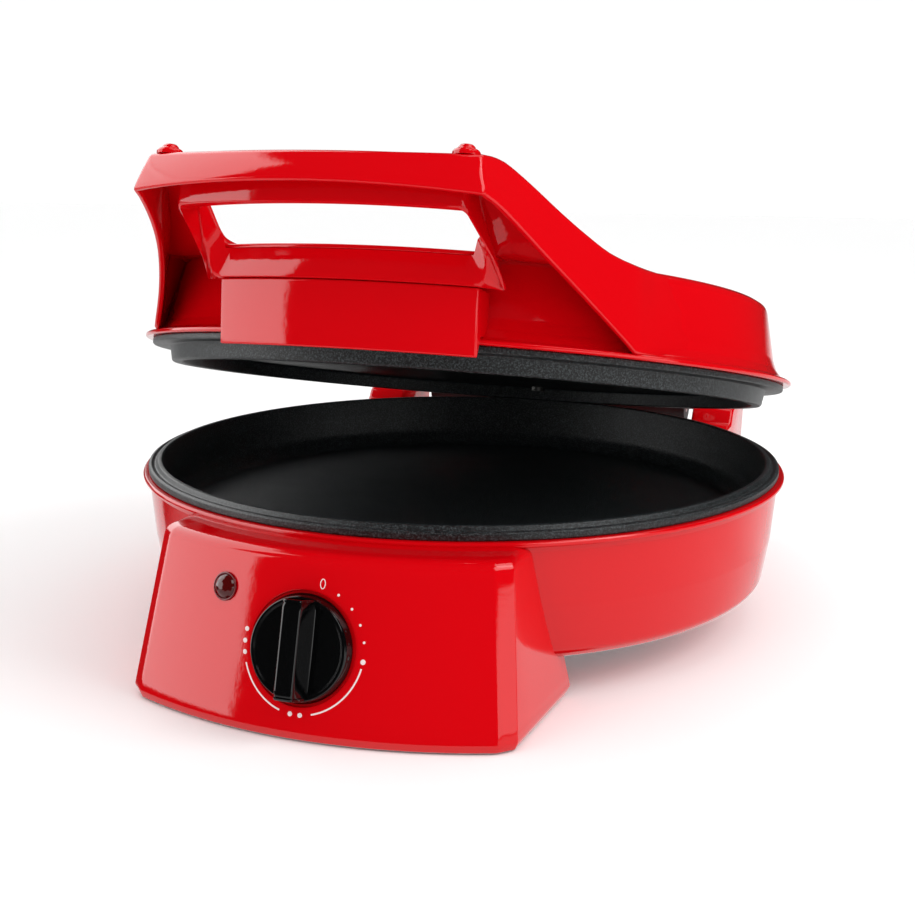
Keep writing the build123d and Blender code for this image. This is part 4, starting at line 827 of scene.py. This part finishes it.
# Controls: the dial's turned disc with its grip bar, and the pilot lamp with its ring
dial = {"skirt": [(6, -1.2), (6, 1.0), (20.6, 1.0), (20.6, -1.2), (22.6, -1.2), (22.6, -0.4), (21.6, 2.6),
                  (21.1, 3.6), (19.7, 3.7), (19.3, 3.1), (17, 2.9), (0, 2.7)],
        "rounds": [0, 0, 0, 0, 0.3, 1, 2, 0.5, 0.4, 0.4, 8, 0], "height": 13.0, "barHalf": 20.4,
        "barFlat": 18.6, "barTop": 4.0, "barFoot": 6.0, "barFlare": 7.2, "footHigh": 3.2, "flareHigh": 2.0,
        "barRounds": [0, 1.0, 1.1, 1.1, 1.0, 0], "barLow": 1.6, "endRound": 1.2, "closed": 12.9,
        "barPoints": 28}


# Grip bar: a rounded section across, drawn in towards both ends, from the disc up to its flat top
def gripBar():
    right = [(dial["barTop"], dial["height"]), (dial["barFoot"], dial["footHigh"]),
             (dial["barFlare"], dial["flareHigh"])]
    section = roundedLine([(-x, z) for x, z in right[::-1]] + right, dial["barRounds"], 5)
    section = denser(section, 1.5)
    edge = np.linspace(0, np.pi / 2, 6)
    endIn, endDrop = dial["endRound"] * (1 - np.sin(edge)), dial["endRound"] * (1 - np.cos(edge))
    level = np.linspace(-dial["barFlat"], dial["barFlat"], dial["barPoints"])[1:-1]
    along = np.concatenate([endIn[:1] - dial["barHalf"], endIn - dial["barHalf"], level,
                            dial["barHalf"] - endIn[::-1], dial["barHalf"] - endIn[:1]])
    shrink = np.concatenate([[dial["closed"]], endDrop, 0 * level, endDrop[::-1], [dial["closed"]]])[:, None]
    x = section[None, :, 0] * (1 - shrink / dial["height"])
    z = np.maximum(section[None, :, 1] - shrink, dial["barLow"])
    return np.stack([x, along[:, None] + 0 * x, z], -1)


dialLine = denser(roundedLine(dial["skirt"], dial["rounds"], 5), 2)
makePiece("dial_knob", [(onDial(turned(dialLine, dialSteps)), True, False), (onDial(gripBar()), False, False)],
          "knob", blackGloss, ["knob"], sharp=30)

lamp = {"turn": 11.4, "up": 58.6,
        "dome": [(0, 3.4), (1.6, 3.25), (3.2, 2.6), (4.5, 1.5), (5.3, 0.5), (5.3, 0.0), (4.6, 0.0), (4.6, -3.4),
                 (0, -3.4)],
        "domeRounds": [0, 2, 2, 1, 0.3, 0, 0, 0, 0],
        "ring": [(5.2, 0.0), (5.2, 0.9), (6.1, 0.9), (6.1, 0.0)], "ringRound": 0.35}


# Lamp frame: x across, y up the face, z out of it, at the lamp's place
def onLamp(points):
    turnAngle = np.radians(lamp["turn"])
    outward = np.array([-np.sin(turnAngle), -np.cos(turnAngle), 0.0])
    acrossAxis = np.array([np.cos(turnAngle), -np.sin(turnAngle), 0.0])
    outAxis = outward * faceCos + np.array([0, 0, faceSin])
    upAxis = np.cross(outAxis, acrossAxis)
    middle = np.array([0, place["bowlY"] + place["faceShift"], lamp["up"] * faceCos])
    middle = middle + outward * (place["faceRadius"] - lamp["up"] * faceSin)
    return middle + points[..., :1] * acrossAxis + points[..., 1:2] * upAxis + points[..., 2:] * outAxis


domeLine = roundedLine(lamp["dome"], lamp["domeRounds"], 5)
makePiece("pilot_lamp", [(onLamp(turned(domeLine, smallSteps)), True, False)], "base", lens,
          ["lamp_lens"])
ringLine = roundedLine(lamp["ring"], lamp["ringRound"], 4, closed=True)
makePiece("lamp_ring", [(onLamp(turned(ringLine, smallSteps)), True, True)], "base", lensRing)

# Printed marks of the dial on the face: dots by their radius, with angles clockwise from the top, two arcs, and
# an oval outline
marks = {"centre": (0.45, 38.6), "ring": 26.9, "proud": 0.06,
         "dots": {0.56: [30.6, 47.9, 63.8, 79.2], 1.02: [175.5, 185.0, 259.1, 269.1, 279.5], 1.1: [95.9]},
         "arcs": [(101.8, 165.0), (195.7, 249.8)], "arcWidth": 0.7,
         "zero": (13.4, 27.8), "zeroSize": (1.05, 1.95), "stroke": 0.36}


# Place on the face at an angle round the dial and a distance from its middle
def markPlace(angle, ring):
    return (marks["centre"][0] + ring * np.sin(np.radians(angle)),
            marks["centre"][1] + ring * np.cos(np.radians(angle)))


# A printed dot: a disc of rings, lying just proud of the face
def dot(angle, radius):
    x, up = markPlace(angle, marks["ring"])
    turns = np.linspace(0, 2 * np.pi, 24, endpoint=False)[:, None]
    reach = np.array([[0, 0.7, 1.0, 1.0]]) * radius
    out = np.array([[1, 1, 0.7, -1.5]]) * marks["proud"]
    return np.stack([x + reach * np.cos(turns), up + reach * np.sin(turns), out + 0 * turns], -1)


# A printed band: a low section carried along a curve of places
def band(x, up, dx, dup, width):
    across = np.array([[-0.5, -0.5, -0.4, 0.4, 0.5, 0.5]]) * width
    out = np.array([[-1.5, 0.7, 1, 1, 0.7, -1.5]]) * marks["proud"]
    return np.stack([x[:, None] + dx[:, None] * across, up[:, None] + dup[:, None] * across,
                     out + 0 * x[:, None]], -1)


markGrids = []
for size, angles in marks["dots"].items():
    markGrids += [(onFace(dot(angle, size)), True, False) for angle in angles]
for first, last in marks["arcs"]:
    sweep = np.linspace(first, last, 60)
    x, up = markPlace(sweep, marks["ring"])
    sweep = np.radians(sweep)
    markGrids.append((onFace(band(x, up, np.sin(sweep), np.cos(sweep), marks["arcWidth"])), False, False))
zeroX, zeroUp = markPlace(*marks["zero"])
around = np.linspace(0, 2 * np.pi, 48, endpoint=False)
wide, tall = marks["zeroSize"]
normal = unit(np.stack([np.cos(around) / wide, np.sin(around) / tall], -1))
markGrids.append((onFace(band(zeroX + wide * np.cos(around), zeroUp + tall * np.sin(around), normal[:, 0],
                              normal[:, 1], marks["stroke"])), True, False))
makePiece("dial_scale", markGrids, "base", white, outwards=False, sharp=0)
print("controls made")

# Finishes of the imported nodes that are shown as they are
finishes = (
    (blackMatt, ("housing_cover", "cord_gland", "lamp_body", "terminal_block", "hinge_knuckle")),
    (rubber, ("front_feet", "rear_feet")),
    (steel, ("bottom_cover", "lower_reflector", "upper_reflector", "thermostat_bracket", "thermostat_body",
             "lower_heater_clips", "upper_heater_clips", "cover_screws", "pan_tie_screws", "pan_spacers",
             "bracket_screws", "handle_screws", "reflector_screws", "knuckle_screws", "hinge_pins",
             "thermostat_shaft")),
    (element, ("upper_plate_screws", "lower_heater", "upper_heater")),
    (nylon, ("hinge_bushes",)),
    (ceramic, ("lower_heater_ends", "upper_heater_ends")),
    (fuse, ("thermal_fuse", "upper_thermal_fuse")),
    (wire, ("base_wiring", "lid_wiring")),
)
for finish, names in finishes:
    for name in names:
        nodes[name].data.materials.clear()
        nodes[name].data.materials.append(finish)
print("finishes given to", sum(len(names) for _, names in finishes), "nodes")

# Floor, light and surroundings. Each field of light that the gloss sees is a row: azimuth from and to,
# elevation from and to, softness of its edges, and brightness
studio = {"floor": (0.985, 0.985, 0.985), "floorHalf": 6.0, "floorRoughness": 0.9, "floorSpecular": 0.1,
          "world": 1.01, "gloss": 0.03, "fields": [
              (-104, -42.5, -7, 34, 2.5, 3.9),
              (-145, -62, 34, 58, 4, 3.9),
              (-145, -104, 10, 34, 4, 3.4),
              (50, 100, 36, 62, 5, 3.9),
              (86, 135, 50, 72, 5, 3.4),
              (42, 92, -2, 10, 3, 2.2),
              (-200, 200, -64, -19, 5, 1.05),
              (40, 200, -19, -4, 4, 1.1),
              (-200, -120, -19, -4, 4, 1.1),
              (150, 200, 38, 95, 8, 1.6),
              (-200, -160, 62, 95, 8, 1.6),
          ]}
half = studio["floorHalf"]
floorMesh = bpy.data.meshes.new("floor")
floorMesh.from_pydata([(-half, -half, 0), (half, -half, 0), (half, half, 0), (-half, half, 0)], [],
                      [(0, 1, 2, 3)])
floor = bpy.data.objects.new("floor", floorMesh)
scene.collection.objects.link(floor)
floorLook = bpy.data.materials.new("floor")
floorLook.use_nodes = True
floorShader = floorLook.node_tree.nodes["Principled BSDF"]
floorShader.inputs["Base Color"].default_value = (*studio["floor"], 1)
floorShader.inputs["Roughness"].default_value = studio["floorRoughness"]
floorShader.inputs["Specular IOR Level"].default_value = studio["floorSpecular"]
floorMesh.materials.append(floorLook)
floor.visible_glossy = False


# 1 where a value lies between two edges and 0 outside them, with soft edges
def between(tree, value, low, high, soft):
    rise = ramp(tree, value, low - soft / 2, low + soft / 2, 0.0, 1.0, "SMOOTHSTEP")
    fall = ramp(tree, value, high - soft / 2, high + soft / 2, 1.0, 0.0, "SMOOTHSTEP")
    return maths(tree, "MULTIPLY", rise, fall)


# Surroundings: white for the eye and for soft light, and for gloss a dark room with bright fields. Azimuth is
# in degrees to the right of the line that looks to the front, elevation in degrees above the horizon
def surroundings():
    world = bpy.data.worlds.new("studio")
    scene.world = world
    world.use_nodes = True
    tree = world.node_tree
    where = tree.nodes.new("ShaderNodeTexCoord")
    split = addNode(tree, "ShaderNodeSeparateXYZ", {0: where.outputs["Generated"]}).outputs
    front = maths(tree, "MULTIPLY", split["Y"], -1.0)
    azimuth = maths(tree, "DEGREES", maths(tree, "ARCTAN2", split["X"], front))
    elevation = maths(tree, "DEGREES", maths(tree, "ARCSINE", split["Z"]))
    total = studio["gloss"]
    for first, last, low, high, soft, bright in studio["fields"]:
        field = maths(tree, "MULTIPLY", between(tree, azimuth, first, last, soft),
                      between(tree, elevation, low, high, soft))
        total = maths(tree, "ADD", maths(tree, "MULTIPLY", field, bright), total)
    gloss = addNode(tree, "ShaderNodeBackground", {"Strength": total})
    plain = tree.nodes["Background"]
    plain.inputs["Color"].default_value = (1, 1, 1, 1)
    plain.inputs["Strength"].default_value = studio["world"]
    path = tree.nodes.new("ShaderNodeLightPath")
    mix = addNode(tree, "ShaderNodeMixShader", {0: path.outputs["Is Glossy Ray"], 1: plain.outputs[0],
                                                2: gloss.outputs[0]})
    tree.links.new(mix.outputs[0], tree.nodes["World Output"].inputs["Surface"])


surroundings()

# Soft lamps, with places in metres and powers in watts
lamps = {"key": {"at": (1.35, -0.1, 1.05), "target": (0, 0, 0.1), "size": 0.9, "power": 11.5},
         "fill": {"at": (-0.8, -1.3, 1.2), "target": (0, 0, 0.1), "size": 1.0, "power": 1.5}}


# A soft lamp that lights but doesn't show in the gloss: its back axis points away from the target
def softLight(name, at, target, size, power):
    lightData = bpy.data.lights.new(name, "AREA")
    lightData.size, lightData.energy = size, power
    light = bpy.data.objects.new(name, lightData)
    scene.collection.objects.link(light)
    away = unit(np.array(at, float) - np.array(target, float))
    side = unit(np.cross((0, 0, 1.0), away))
    turn = np.stack([side, np.cross(away, side), away], -1)
    light.matrix_world = Matrix.Translation(at) @ Matrix(turn.tolist()).to_4x4()
    light.visible_glossy = False


for name, values in lamps.items():
    softLight(name, **values)
print("studio made")
